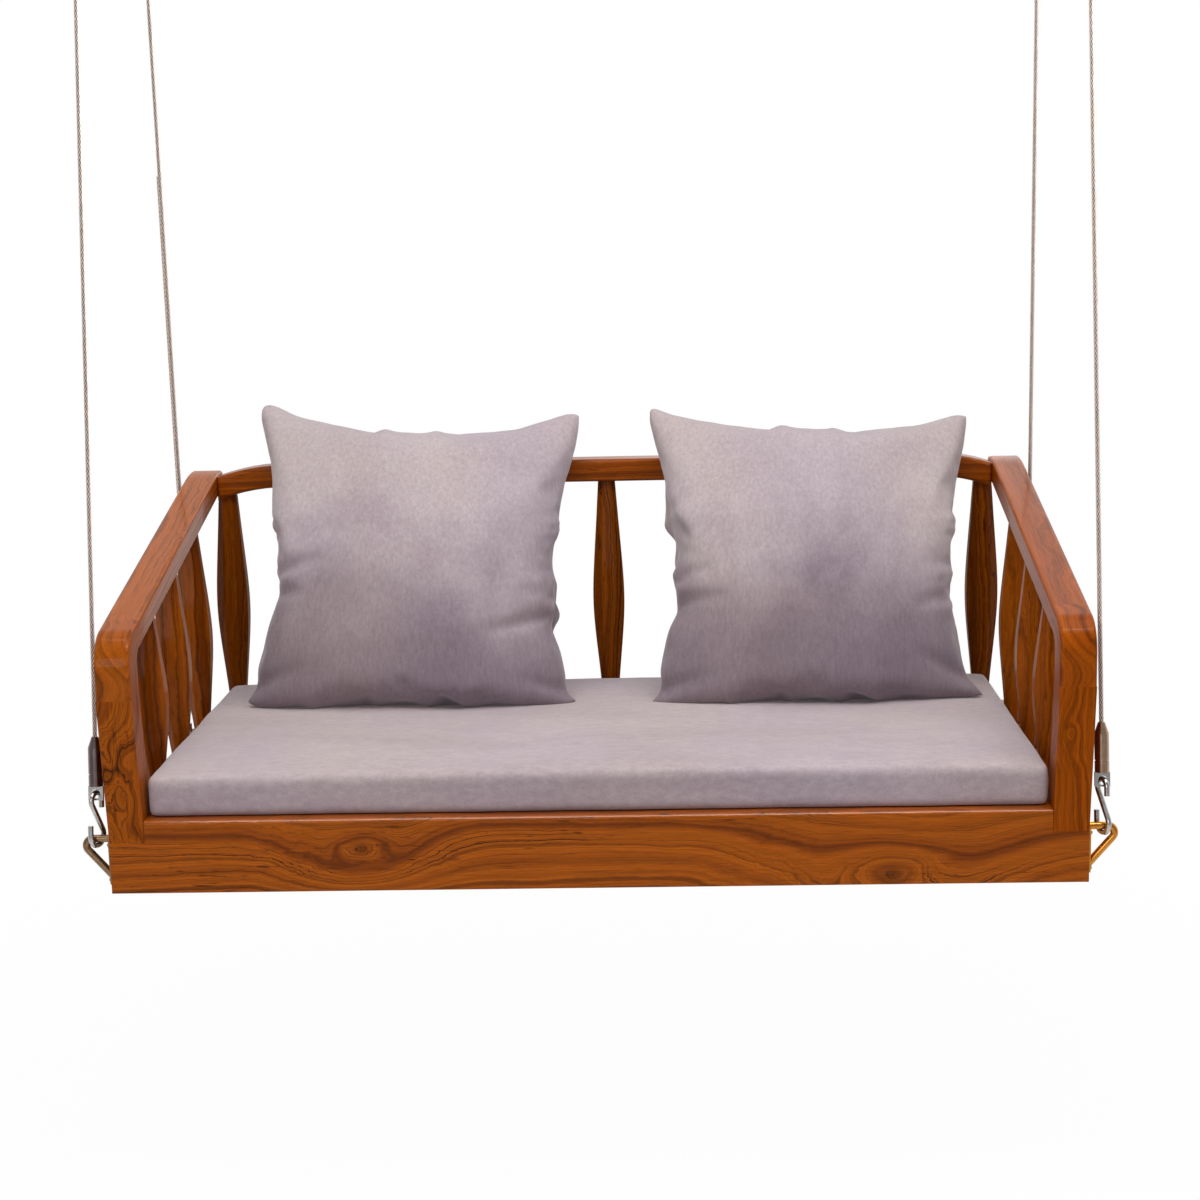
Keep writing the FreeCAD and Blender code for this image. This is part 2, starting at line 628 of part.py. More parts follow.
# S-hook: two bends joined by their inner tangent, one plane turned about the rope
def s_hook(label, hung, turn):
    low_turn, top_turn, span = D["hook_low_turn"], D["hook_top_turn"], D["hook_span"]
    lean = math.asin((low_turn + top_turn) / span)
    normal = vec(-math.cos(lean), 0, math.sin(lean))
    low_centre = vec(0, 0, 0)
    top_centre = vec(0, 0, span)
    low_leave = low_centre + normal * low_turn
    top_meet = top_centre - normal * top_turn
    low_start = vec(low_turn, 0, 0)
    low_tip = vec(low_turn, 0, D["hook_low_tip"])
    top_end = vec(-top_turn, 0, span)
    top_tip = vec(-top_turn, 0, span - D["hook_top_tip"])
    edges = [Part.LineSegment(low_tip, low_start).toShape(),
             Part.Arc(low_start, vec(0, 0, -low_turn), low_leave).toShape(),
             Part.LineSegment(low_leave, top_meet).toShape(),
             Part.Arc(top_meet, vec(0, 0, span + top_turn), top_end).toShape(),
             Part.LineSegment(top_end, top_tip).toShape()]
    path = doc.addObject("Part::Feature", label + "_path")
    path.Shape = Part.Wire(edges)
    ring = doc.addObject("Part::Circle", label + "_round")
    bind(ring, Radius="dims.hook_rod / 2")
    ring.Placement = FreeCAD.Placement(low_tip, FreeCAD.Rotation(vec(0, 0, 1), vec(0, 0, -1)))
    sweep = doc.addObject("Part::Sweep", label)
    sweep.Sections = [ring]
    sweep.Spine = (path, [f"Edge{index}" for index in range(1, len(edges) + 1)])
    sweep.Solid = True
    sweep.Frenet = False
    sweep.Placement = hung.multiply(FreeCAD.Placement(vec(0, 0, 0), FreeCAD.Rotation(vec(0, 0, 1), turn)))
    keep(sweep, label)


def eye_foot_high():
    # Height of the eye's foot bar, seated under the crown of the hook's upper bend.
    inner = D["hook_top_turn"] - D["hook_rod"] / 2 - D["link_gap"]
    reach = D["eye_thick"] / 2 / math.cos(math.radians(HOOK_TURN))
    return D["hook_span"] + math.sqrt(inner * inner - reach * reach)


def local(hung, x=0, y=0, z=0, turn=None):
    return hung.multiply(FreeCAD.Placement(vec(x, y, z), turn or FreeCAD.Rotation()))


ACROSS = FreeCAD.Rotation(vec(1, 0, 0), -90)


# Eye terminal: a flat block with an arched hole for the hook
def eye_block(label, hung):
    bar_top = eye_foot_high()
    foot = bar_top - D["eye_foot"]
    block = doc.addObject("Part::Box", label + "_block")
    bind(block, Length="dims.eye_wide", Width="dims.eye_thick", Height="dims.eye_high")
    block.Placement = local(hung, -D["eye_wide"] / 2, -D["eye_thick"] / 2, foot)
    arch = cylinder(label + "_arch", "dims.eye_hole_wide / 2", "dims.eye_thick + 2 * dims.overrun")
    arch_z = bar_top + D["eye_hole_high"] - D["eye_hole_wide"] / 2
    arch.Placement = local(hung, 0, -D["eye_thick"] / 2 - D["overrun"], arch_z, ACROSS)
    slot = doc.addObject("Part::Box", label + "_slot")
    bind(slot, Length="dims.eye_hole_wide", Width="dims.eye_thick + 2 * dims.overrun",
         Height="dims.eye_hole_high - dims.eye_hole_wide / 2")
    slot.Placement = local(hung, -D["eye_hole_wide"] / 2, -D["eye_thick"] / 2 - D["overrun"], bar_top)
    keep(cut(label, block, fuse(label + "_hole", [arch, slot])), label)
    return foot + D["eye_high"]


# Barrel terminal: a groove near its foot, a cone at its mouth and a bore for the rope
def barrel(label, hung, foot, tail_bore=None):
    body = cylinder(label + "_barrel", "dims.barrel_wide / 2", "dims.barrel_long")
    body.Placement = local(hung, z=foot)
    mouth = cone(label + "_cone", "dims.barrel_wide / 2", "dims.cone_tip_wide / 2", "dims.cone_long")
    mouth.Placement = local(hung, z=foot + D["barrel_long"])
    ring = cylinder(label + "_groove_out", "dims.barrel_wide / 2 + dims.overrun", "dims.groove_high")
    core = cylinder(label + "_groove_in", "dims.barrel_wide / 2 - dims.groove_deep", "dims.groove_high")
    ring.Placement = local(hung, z=foot + D["groove_up"])
    core.Placement = local(hung, z=foot + D["groove_up"])
    bore = cylinder(label + "_bore", "dims.rope_wide / 2",
                    "dims.barrel_long + dims.cone_long - dims.socket_floor + dims.overrun")
    bore.Placement = local(hung, z=foot + D["socket_floor"])
    tools = [cut(label + "_groove", ring, core), bore]
    if tail_bore:
        tools.append(tail_bore)
    solid = fuse(label + "_solid", [body, mouth])
    keep(cut(label, solid, fuse(label + "_voids", tools)), label)


# Top terminal: an eye round the staple's bar, a neck, a barrel and a cone to the rope
def top_terminal(label, hung, span):
    ring = cylinder(label + "_ring", "dims.top_eye_wide / 2", "dims.top_eye_thick")
    ring.Placement = local(hung, -D["top_eye_thick"] / 2, 0, span, FreeCAD.Rotation(vec(0, 1, 0), 90))
    neck = doc.addObject("Part::Box", label + "_neck")
    bind(neck, Length="dims.top_eye_thick", Width="dims.top_eye_thick",
         Height="dims.top_neck_long + dims.top_eye_wide / 2")
    neck_low = span - D["top_eye_wide"] / 2 - D["top_neck_long"]
    neck.Placement = local(hung, -D["top_eye_thick"] / 2, -D["top_eye_thick"] / 2, neck_low)
    body = cylinder(label + "_barrel", "dims.barrel_wide / 2", "dims.top_barrel_long")
    body.Placement = local(hung, z=neck_low - D["top_barrel_long"])
    mouth = cone(label + "_cone", "dims.cone_tip_wide / 2", "dims.barrel_wide / 2", "dims.cone_long")
    mouth.Placement = local(hung, z=neck_low - D["top_barrel_long"] - D["cone_long"])
    hole = cylinder(label + "_hole", "dims.staple_rod / 2 + dims.link_gap",
                    "dims.top_eye_thick + 2 * dims.overrun")
    hole.Placement = local(hung, -D["top_eye_thick"] / 2 - D["overrun"], 0, span,
                           FreeCAD.Rotation(vec(0, 1, 0), 90))
    bore = cylinder(label + "_bore", "dims.rope_wide / 2",
                    "dims.top_barrel_long + dims.cone_long - dims.socket_floor + dims.overrun")
    bore_low = neck_low - D["top_barrel_long"] - D["cone_long"] - D["overrun"]
    bore.Placement = local(hung, z=bore_low)
    solid = fuse(label + "_solid", [ring, neck, body, mouth])
    keep(cut(label, solid, fuse(label + "_voids", [hole, bore])), label)
    return neck_low - D["socket_floor"]


# Wire ropes: straight between the two sockets; one keeps its cut tail beside it
def rope_piece(name, long):
    piece = doc.addObject("Part::Cylinder", name)
    bind(piece, Radius="dims.rope_wide / 2")
    piece.Height = long
    return piece


def rope(label, hung, low, high, tail=None):
    run = rope_piece(label + "_run", high - low)
    run.Placement = local(hung, z=low)
    keep(group(label, [run, tail]) if tail else run, label)


def tail_pieces(label, hung, foot):
    # The tail lies behind and outside the rope, in a bore of its own in the barrel.
    beside = D["rope_wide"] + D["tail_gap"]
    x = -beside * math.cos(math.radians(HOOK_TURN * 2))
    y = beside * math.sin(math.radians(HOOK_TURN * 2))
    start = foot + D["barrel_long"] - D["cone_long"]
    high = D["tail_end_high"] - D["ring_top"]
    tail = rope_piece(label + "_tail", high - start)
    tail.Placement = local(hung, x, y, start)
    bore = cylinder(label + "_tail_bore", "dims.rope_wide / 2",
                    "2 * dims.cone_long + dims.overrun")
    bore.Placement = local(hung, x, y, start)
    return tail, bore


# Bracket: a plate on the frame's side, with a rod bent out from its head and back to its
# foot. With the plate the rod closes a three-cornered ring.
def bracket(label, sign_x, sign_y):
    y = sign_y * (D["depth"] / 2 - D["rope_front_off"])
    rod = D["ring_rod"]
    nose = vec(D["ring_nose"], 0, D["ring_top"])
    inward = vec(-1, 0, 0)
    down = (vec(0, 0, D["ring_foot"]) - nose).normalize()
    turn = tangent_arc(nose, inward, down, D["ring_nose_turn"])
    start = vec(D["link_gap"], 0, D["ring_top"])
    end = vec(0, 0, D["ring_foot"]) + down * rod
    path = Part.Wire([Part.LineSegment(start, turn[0]).toShape(), Part.Arc(*turn).toShape(),
                      Part.LineSegment(turn[2], end).toShape()])
    section = Part.Wire(Part.makeCircle(rod / 2, start, -inward))
    # The rod's foot is cut off in the plate; its head stands just clear of the leaning post.
    wood = Part.makeBox(2 * rod + D["link_gap"], 2 * rod, D["rail_high"], vec(-2 * rod, -rod, 0))
    bent = path.makePipeShell([section], True, False).cut(wood)
    ring = doc.addObject("Part::Feature", label + "_ring")
    ring.Shape = bent if sign_x > 0 else bent.mirror(vec(0, 0, 0), vec(1, 0, 0))
    ring.Placement = FreeCAD.Placement(vec(sign_x * D["width"] / 2, y, -D["drop"]), FreeCAD.Rotation())
    plate = box(label + "_plate",
                (f"{sign_x} * (dims.width / 2 + dims.plate_thick / 2)",
                 f"{sign_y} * (dims.depth / 2 - dims.rope_front_off)", f"{SEAT_LOW} + dims.plate_low"),
                ("dims.plate_thick", "dims.plate_wide", "dims.plate_high"))
    return fuse(label + "_blank", [ring, plate])


# Wood screws: a domed head on a shank that ends in the wood
def screw(name, base, way, long):
    turn = FreeCAD.Rotation(vec(0, 0, 1), way)
    shank = cylinder(name + "_shank", "dims.screw_shank / 2", f"dims.{long}")
    shank.Placement = FreeCAD.Placement(base - way * D[long], turn)
    head = cone(name + "_head", "dims.screw_head / 2", "dims.screw_crown / 2", "dims.screw_head_high")
    head.Placement = FreeCAD.Placement(base, turn)
    return fuse(name, [shank, head]), shank


def bracket_screw_places(sign_x, sign_y):
    y = sign_y * (D["depth"] / 2 - D["rope_front_off"])
    across = D["plate_wide"] / 2 - D["screw_edge"]
    # The upper pair stays in the rail, below the foot of the post.
    low = -D["drop"] + D["plate_low"] + D["screw_edge"]
    high = -D["drop"] + D["post_foot"] - D["screw_edge"]
    x = sign_x * (D["width"] / 2 + D["plate_thick"])
    return [vec(x, y + side * across, z) for side in (-1, 1) for z in (low, high)]


LEDGER_SCREW_SHARES = (-0.8, 0.2, 0.8)


def build():
    rails = {"front": front_rail(), "rear": rear_rail()}
    sides = {}
    for side, sign in SIDES:
        sides[side] = side_rail(side, sign)
        post(side, sign)
    arms()
    back = back_rail()
    doc.recompute()
    arm_left, arm_right = doc.getObject("arm_left"), doc.getObject("arm_right")
    tools = {"back": group("round_back_spindles", [back, arm_left, arm_right, rails["rear"]]),
             "left": group("round_left_spindles", [arm_left, sides["left"]]),
             "right": group("round_right_spindles", [arm_right, sides["right"]])}
    spindles(tools)
    bearers = seat_base()
    cushion = seat_cushion()
    doc.recompute()
    pillow("pillow_left", D["pillow_left_place"], cushion, back)
    pillow("pillow_right", D["pillow_right_place"], cushion, back)
    screws = []
    shanks = {"front": [], "rear": []}
    ledger_shanks = []
    for end, sign_y in ENDS:
        for side, sign_x in SIDES:
            corner = f"{end}_{side}"
            blank = bracket(f"bracket_{corner}", sign_x, sign_y)
            holes = []
            for index, spot in enumerate(bracket_screw_places(sign_x, sign_y)):
                name = f"screw_{corner}_{index}"
                piece, shank = screw(name, spot, vec(sign_x, 0, 0), "screw_long")
                screws.append(piece)
                holes.append(shank)
            shanks[end] += holes
            holes = group(f"bracket_{corner}_holes", holes)
            keep(cut(f"bracket_{corner}", blank, holes), f"bracket_{corner}")
            hanger(corner, sign_x, sign_y)
        for index, share in enumerate(LEDGER_SCREW_SHARES):
            ledger_z = -D["drop"] + D["rail_high"] - D["board_thick"] - D["ledger_side"] / 2
            inner = D["depth"] / 2 - D["rail_thick"] - D["ledger_side"]
            spot = vec(D["width"] / 2 * share, sign_y * inner, ledger_z)
            name = f"screw_ledger_{end}_{index}"
            piece, shank = screw(name, spot, vec(0, -sign_y, 0), "ledger_screw_long")
            screws.append(piece)
            shanks[end].append(shank)
            ledger_shanks.append(shank)
    for end, rail in rails.items():
        keep(cut(f"{end}_rail", rail, group(f"{end}_rail_holes", shanks[end])), f"{end}_rail")
    holes = group("seat_bearer_holes", ledger_shanks)
    keep(cut("seat_bearers", bearers, holes), "seat_bearers")
    keep(group("wood_screws", screws), "wood_screws")


def hanger(corner, sign_x, sign_y):
    hung = hang(sign_x, sign_y)
    span = rope_span(sign_x, sign_y)
    # The hook's tip points back and inward on the right, and forward on the left.
    turn = 90 + HOOK_TURN if sign_x > 0 else 270 - HOOK_TURN
    s_hook(f"s_hook_{corner}", hung, turn)
    foot = eye_block(f"eye_{corner}", hung)
    tail, tail_bore = (None, None)
    if corner == "rear_left":
        tail, tail_bore = tail_pieces(f"rope_{corner}", hung, foot)
    barrel(f"barrel_{corner}", hung, foot, tail_bore)
    rope_top = top_terminal(f"top_terminal_{corner}", hung, span)
    rope(f"rope_{corner}", hung, foot + D["socket_floor"], rope_top, tail)
    ceiling_mount(f"ceiling_mount_{corner}", high_point(sign_x, sign_y))


# Ceiling mount: a plate with four holes and a staple bent from rod
def ceiling_mount(label, pivot):
    plate = doc.addObject("Part::Box", label + "_plate")
    bind(plate, Length="dims.ceiling_plate", Width="dims.ceiling_plate", Height="dims.ceiling_plate_thick")
    half = D["ceiling_plate"] / 2
    plate.Placement = FreeCAD.Placement(vec(pivot.x - half, pivot.y - half, -D["ceiling_plate_thick"]),
                                        FreeCAD.Rotation())
    holes = []
    for sign_x in (-1, 1):
        for sign_y in (-1, 1):
            hole = cylinder(f"{label}_hole_{sign_x + 1}{sign_y + 1}", "dims.ceiling_hole / 2",
                            "dims.ceiling_plate_thick + 2 * dims.overrun")
            hole.Placement = FreeCAD.Placement(
                vec(pivot.x + sign_x * D["ceiling_pitch"] / 2, pivot.y + sign_y * D["ceiling_pitch"] / 2,
                    -D["ceiling_plate_thick"] - D["overrun"]), FreeCAD.Rotation())
            holes.append(hole)
    drilled = cut(label + "_drilled", plate, fuse(label + "_holes", holes))
    top = -D["ceiling_plate_thick"] + D["overrun"]
    left = vec(-D["staple_half"], 0, -D["staple_drop"])
    right = vec(D["staple_half"], 0, -D["staple_drop"])
    start = vec(-D["staple_half"], 0, top)
    end = vec(D["staple_half"], 0, top)
    arc_left = tangent_arc(left, vec(0, 0, 1), vec(1, 0, 0), D["staple_turn"])
    arc_right = tangent_arc(right, vec(-1, 0, 0), vec(0, 0, 1), D["staple_turn"])
    edges = [Part.LineSegment(start, arc_left[0]).toShape(), Part.Arc(*arc_left).toShape(),
             Part.LineSegment(arc_left[2], arc_right[0]).toShape(), Part.Arc(*arc_right).toShape(),
             Part.LineSegment(arc_right[2], end).toShape()]
    path = doc.addObject("Part::Feature", label + "_path")
    path.Shape = Part.Wire(edges)
    ring = doc.addObject("Part::Circle", label + "_round")
    bind(ring, Radius="dims.staple_rod / 2")
    ring.Placement = FreeCAD.Placement(start, FreeCAD.Rotation(vec(0, 0, 1), vec(0, 0, -1)))
    staple = doc.addObject("Part::Sweep", label + "_staple")
    staple.Sections = [ring]
    staple.Spine = (path, [f"Edge{index}" for index in range(1, len(edges) + 1)])
    staple.Solid = True
    staple.Placement = FreeCAD.Placement(vec(pivot.x, pivot.y, 0), FreeCAD.Rotation())
    keep(fuse(label, [drilled, staple]), label)


def check_and_write():
    doc.recompute()
    for obj in doc.Objects:
        if "Invalid" in obj.State or "Error" in obj.State:
            raise RuntimeError(f"{obj.Name} is {obj.State}")
    for obj in PARTS:
        shape = obj.Shape
        if shape.isNull() or not shape.isValid() or not shape.Solids:
            raise RuntimeError(f"{obj.Label} has no valid solid")
        shape.exportStep(f"parts/{obj.Label}.step")
    print(len(PARTS), "sub-parts written")


build()
check_and_write()
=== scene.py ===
import bpy
import bmesh
import math
from mathutils import Matrix, Vector, noise


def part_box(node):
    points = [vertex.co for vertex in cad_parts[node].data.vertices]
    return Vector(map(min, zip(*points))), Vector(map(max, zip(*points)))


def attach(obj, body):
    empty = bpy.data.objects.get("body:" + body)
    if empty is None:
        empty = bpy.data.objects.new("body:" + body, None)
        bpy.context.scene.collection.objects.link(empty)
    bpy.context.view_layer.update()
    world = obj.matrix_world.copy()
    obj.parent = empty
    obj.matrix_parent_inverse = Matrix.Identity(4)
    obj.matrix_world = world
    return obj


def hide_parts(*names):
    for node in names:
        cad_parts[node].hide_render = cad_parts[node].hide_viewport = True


# A hanging daybed swing. Metres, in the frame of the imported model: the origin is in
# the ceiling plane, the front of the seat faces -Y and +Z is up.
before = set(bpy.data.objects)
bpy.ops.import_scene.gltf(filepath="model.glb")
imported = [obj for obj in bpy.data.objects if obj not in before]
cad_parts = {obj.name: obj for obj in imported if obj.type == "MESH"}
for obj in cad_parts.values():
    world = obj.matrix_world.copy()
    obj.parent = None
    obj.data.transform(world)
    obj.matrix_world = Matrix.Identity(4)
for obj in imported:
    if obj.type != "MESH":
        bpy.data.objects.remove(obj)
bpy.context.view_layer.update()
scene = bpy.context.scene
scene.view_settings.view_transform = "Standard"

# Driving sizes of the swing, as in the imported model
DROP = 1.25
HALF_DEPTH = 0.305
SEAT_LOW = -DROP
FRONT = -HALF_DEPTH
ENDS = (("front", -1), ("rear", 1))
SIDES = (("left", -1), ("right", 1))
CORNERS = [f"{end}_{side}" for end, _ in ENDS for side, _ in SIDES]

# The camera, at the photograph's place, in the photograph's 1200 x 1200 frame
PHOTO_SIDE = 1200
PHOTO_FOCAL = 2135.3
CAMERA_PLACE = Vector((0.0997, -2.8634, -0.4267))
CAMERA_YAW = math.radians(-1.9595)
CAMERA_PITCH = math.radians(-10.1347)
CAMERA_ROLL = math.radians(-1.3022)
SENSOR = 36


def make_camera():
    ahead = Vector((math.sin(CAMERA_YAW) * math.cos(CAMERA_PITCH),
                    math.cos(CAMERA_YAW) * math.cos(CAMERA_PITCH), math.sin(CAMERA_PITCH)))
    level = Vector((math.cos(CAMERA_YAW), -math.sin(CAMERA_YAW), 0))
    rise = level.cross(ahead)
    right = level * math.cos(CAMERA_ROLL) + rise * math.sin(CAMERA_ROLL)
    up = rise * math.cos(CAMERA_ROLL) - level * math.sin(CAMERA_ROLL)
    data = bpy.data.cameras.new("camera")
    data.sensor_width = SENSOR
    data.lens = SENSOR * PHOTO_FOCAL / PHOTO_SIDE
    camera = bpy.data.objects.new("camera", data)
    scene.collection.objects.link(camera)
    turn = Matrix((right, up, -ahead)).transposed().to_4x4()
    camera.matrix_world = Matrix.Translation(CAMERA_PLACE) @ turn
    scene.camera = camera


make_camera()


# Small helpers for node trees
def new_material(name):
    material = bpy.data.materials.new(name)
    material.use_nodes = True
    tree = material.node_tree
    tree.nodes.clear()
    output = tree.nodes.new("ShaderNodeOutputMaterial")
    shader = tree.nodes.new("ShaderNodeBsdfPrincipled")
    tree.links.new(shader.outputs[0], output.inputs["Surface"])
    return material, tree, shader


def node(tree, kind, settings=None, **inputs):
    # A node with its settings and inputs; an input is a value or another node's socket.
    made = tree.nodes.new("ShaderNode" + kind)
    for key, value in (settings or {}).items():
        setattr(made, key, value)
    for key, value in inputs.items():
        feed(tree, made, key.replace("_", " "), value)
    return made


def feed(tree, made, key, value):
    # An input goes by its name, or by its number after "at".
    socket = made.inputs[int(key[2:])] if key.startswith("at") else made.inputs[key]
    if isinstance(value, bpy.types.NodeSocket):
        tree.links.new(value, socket)
    else:
        socket.default_value = value


def maths(tree, operation, first, second=0.0, third=0.0):
    made = node(tree, "Math", {"operation": operation}, at0=first, at1=second, at2=third)
    return made.outputs[0]


def centred(tree, value):
    return maths(tree, "SUBTRACT", value, 0.5)


def vector_maths(tree, operation, first, second):
    return node(tree, "VectorMath", {"operation": operation}, at0=first, at1=second).outputs[0]


def length_of(tree, vector):
    return node(tree, "VectorMath", {"operation": "LENGTH"}, at0=vector).outputs["Value"]


def object_coordinates(tree):
    return node(tree, "TexCoord").outputs["Object"]


def part_of(tree, vector, axis):
    return node(tree, "SeparateXYZ", Vector=vector).outputs[axis]


def smooth_step(tree, value, start, end, low, high):
    made = node(tree, "MapRange", {"interpolation_type": "SMOOTHSTEP"}, Value=value, From_Min=start,
                From_Max=end, To_Min=low, To_Max=high)
    return made.outputs[0]


def mix(tree, factor, first, second, blend="MIX"):
    made = tree.nodes.new("ShaderNodeMix")
    made.data_type = "RGBA"
    made.blend_type = blend
    sockets = {socket.identifier: socket for socket in made.inputs}
    for key, value in (("Factor_Float", factor), ("A_Color", first), ("B_Color", second)):
        if isinstance(value, bpy.types.NodeSocket):
            tree.links.new(value, sockets[key])
        else:
            sockets[key].default_value = value
    return [socket for socket in made.outputs if socket.identifier == "Result_Color"][0]


def times(tree, first, second, share=1.0):
    return mix(tree, share, first, second, "MULTIPLY")


def grey(value):
    return (value, value, value)


def ramp(tree, value, stops):
    made = node(tree, "ValToRGB", Fac=value)
    elements = made.color_ramp.elements
    while len(elements) < len(stops):
        elements.new(0.5)
    for element, (place, colour) in zip(elements, stops):
        element.position = place
        element.color = (*colour, 1)
    return made.outputs["Color"]


def noise_value(tree, vector, scale, detail=2.0, rough=0.5, distortion=0.0):
    made = node(tree, "TexNoise", {}, Vector=vector, Scale=scale, Detail=detail,
                Roughness=rough, Distortion=distortion)
    return made.outputs["Fac"]


def stretched_noise(tree, vector, repeats, detail, rough=0.5, distortion=0.0):
    # Noise that repeats so many times a metre along each axis.
    spread = vector_maths(tree, "MULTIPLY", vector, repeats)
    return noise_value(tree, spread, 1.0, detail, rough, distortion)


def line_noise(tree, place, repeats, detail, rough):
    made = node(tree, "TexNoise", {"noise_dimensions": "1D"}, W=place, Scale=repeats, Detail=detail,
                Roughness=rough)
    return made.outputs["Fac"]


def add_bump(tree, shader, height, strength, deep):
    bump = node(tree, "Bump", {}, Strength=strength, Distance=deep, Height=height)
    tree.links.new(bump.outputs[0], shader.inputs["Normal"])


# Teak: every line of its figure follows one warped distance across the board
HONEY = (0.470, 0.110, 0.0050)
AMBER = (0.350, 0.075, 0.0035)
BROWN = (0.210, 0.043, 0.0025)
DARK = (0.030, 0.007, 0.0015)
# The oiled surface reflects warm
OIL_TINT = (1.0, 0.45, 0.12)
# Repeats per metre along the fibre, across the face and into the board
SLOW_BENDS = (1.6, 7, 7)
SMALL_BENDS = (16, 34, 34)
PATCHES = (2.2, 14, 14)
FLECKS = (26, 260, 260)
FIBRES = (18, 620, 620)
PORES = (55, 1500, 1500)
# Repeats per metre across the board, from broad bands to fine streaks
BANDS = 34.0
RINGS = 95.0
STREAKS = 150.0
# How far the bends push the lines, in metres, and how far they lean into the board
SLOW_PUSH = 0.085
SMALL_PUSH = 0.016
LEAN = 0.35
# Knots: a ripple in metres, and the share of the distance along the fibre that counts
KNOT_RIPPLE = 0.030
KNOT_ALONG = 0.55
EYE_ALONG = 0.8
EYE_SHARP = 26
# A year ring is darkest at this value of its noise, and sharper on one side of it
RING_PLACE = 0.47
RING_SHARP = 120
RING_SOFT = 20
# How dark the bands, flecks and pores get
BAND_DARK = 0.24
FLECK_DARK = 0.85
PORE_DARK = 0.8
SEED_SHIFTS = (3.1, 1.7, 0.9)
# Roughness of raw wood, how much the polish and the fibres take off, and the lacquer's
RAW_ROUGH = 0.62
POLISH_SMOOTHS = 0.22
FIBRE_SMOOTHS = 0.08
OIL_SPECULAR = 0.12
COAT_ROUGH = 0.06
# The height of a normal over which the lacquer changes to that of a face that looks up
LOOKS_UP = (0.3, 0.6)


def grain_axes(along):
    # Along the fibre, across the face, and into the board.
    along = Vector(along).normalized()
    helper = Vector((0, 0, 1)) if abs(along.z) < 0.8 else Vector((1, 0, 0))
    across = (helper - along * helper.dot(along)).normalized()
    return along, across, along.cross(across)


def projected(tree, vector, axis):
    made = node(tree, "VectorMath", {"operation": "DOT_PRODUCT"}, at0=vector, at1=tuple(axis))
    return made.outputs["Value"]


def board_places(tree, along, bend_centre=None):
    # Distances along the fibre, across the face and into the board.
    coords = object_coordinates(tree)
    u, v, w = [projected(tree, coords, axis) for axis in grain_axes(along)]
    if bend_centre:
        # On a bend the rings follow the curve: distance from its centre goes across.
        off = vector_maths(tree, "SUBTRACT", coords, bend_centre)
        v = length_of(tree, vector_maths(tree, "MULTIPLY", off, (0, 1, 1)))
        w = part_of(tree, coords, "X")
    return u, v, w


def knot_offset(tree, u, v, knot, share):
    along = maths(tree, "MULTIPLY", maths(tree, "SUBTRACT", u, knot[0]), share)
    return along, maths(tree, "SUBTRACT", v, knot[1])


def nearness(tree, along, across, size, sharp=1):
    # The squared distance, and a bell over it that is 1 in the middle.
    square = maths(tree, "MULTIPLY_ADD", across, across, maths(tree, "MULTIPLY", along, along))
    bell = maths(tree, "EXPONENT", maths(tree, "MULTIPLY", square, -sharp / (size * size)))
    return square, bell


def warped_across(tree, places, shifted, knots, figure, seed):
    u, v, w = places
    slow = centred(tree, stretched_noise(tree, shifted, SLOW_BENDS, 2.0))
    small = centred(tree, stretched_noise(tree, shifted, SMALL_BENDS, 4.0, 0.6))
    across = maths(tree, "MULTIPLY_ADD", w, LEAN, v)
    across = maths(tree, "MULTIPLY_ADD", slow, SLOW_PUSH * figure, across)
    across = maths(tree, "MULTIPLY_ADD", small, SMALL_PUSH * figure, across)
    for knot in knots:
        # Round the knot the figure runs in rings; further out it bulges past it.
        du, dv = knot_offset(tree, u, v, knot, KNOT_ALONG)
        du = maths(tree, "MULTIPLY_ADD", small, KNOT_RIPPLE, du)
        square, near = nearness(tree, du, dv, knot[2])
        rings = maths(tree, "MULTIPLY", maths(tree, "SQRT", square), knot[3])
        across = maths(tree, "MULTIPLY_ADD", near, maths(tree, "SUBTRACT", rings, dv), across)
    return maths(tree, "ADD", across, seed)


def year_rings(tree, across):
    offset = maths(tree, "SUBTRACT", line_noise(tree, across, RINGS, 3.0, 0.55), RING_PLACE)
    sharp = maths(tree, "MULTIPLY", maths(tree, "MAXIMUM", offset, 0.0), RING_SHARP)
    soft = maths(tree, "MULTIPLY", maths(tree, "MINIMUM", offset, 0.0), -RING_SOFT)
    return maths(tree, "SUBTRACT", 1.0, maths(tree, "MINIMUM", maths(tree, "ADD", sharp, soft), 1.0))


def lined_colour(tree, across, shifted, streaks):
    # Broad bands, year rings and short flecks; streaks scales how dark the lines get.
    dark = (*DARK, 1)
    bands = line_noise(tree, across, BANDS, 3.0, 0.6)
    colour = ramp(tree, bands, [(0.26, BROWN), (0.40, AMBER), (0.56, HONEY), (0.74, AMBER)])
    patches = stretched_noise(tree, shifted, PATCHES, 2.0)
    heavy = ramp(tree, patches, [(0.40, grey(0.20)), (0.60, grey(1.0))])
    ring = maths(tree, "MULTIPLY", maths(tree, "MULTIPLY", year_rings(tree, across), heavy), streaks)
    colour = mix(tree, ring, colour, dark)
    dark_band = ramp(tree, bands, [(0.62, grey(0)), (0.74, grey(1))])
    colour = mix(tree, maths(tree, "MULTIPLY", dark_band, BAND_DARK * streaks), colour, dark)
    fleck = stretched_noise(tree, shifted, FLECKS, 3.0, 0.6)
    fleck = maths(tree, "MULTIPLY", ramp(tree, fleck, [(0.60, grey(0)), (0.70, grey(1))]), heavy)
    return mix(tree, maths(tree, "MULTIPLY", fleck, FLECK_DARK * streaks), colour, dark)


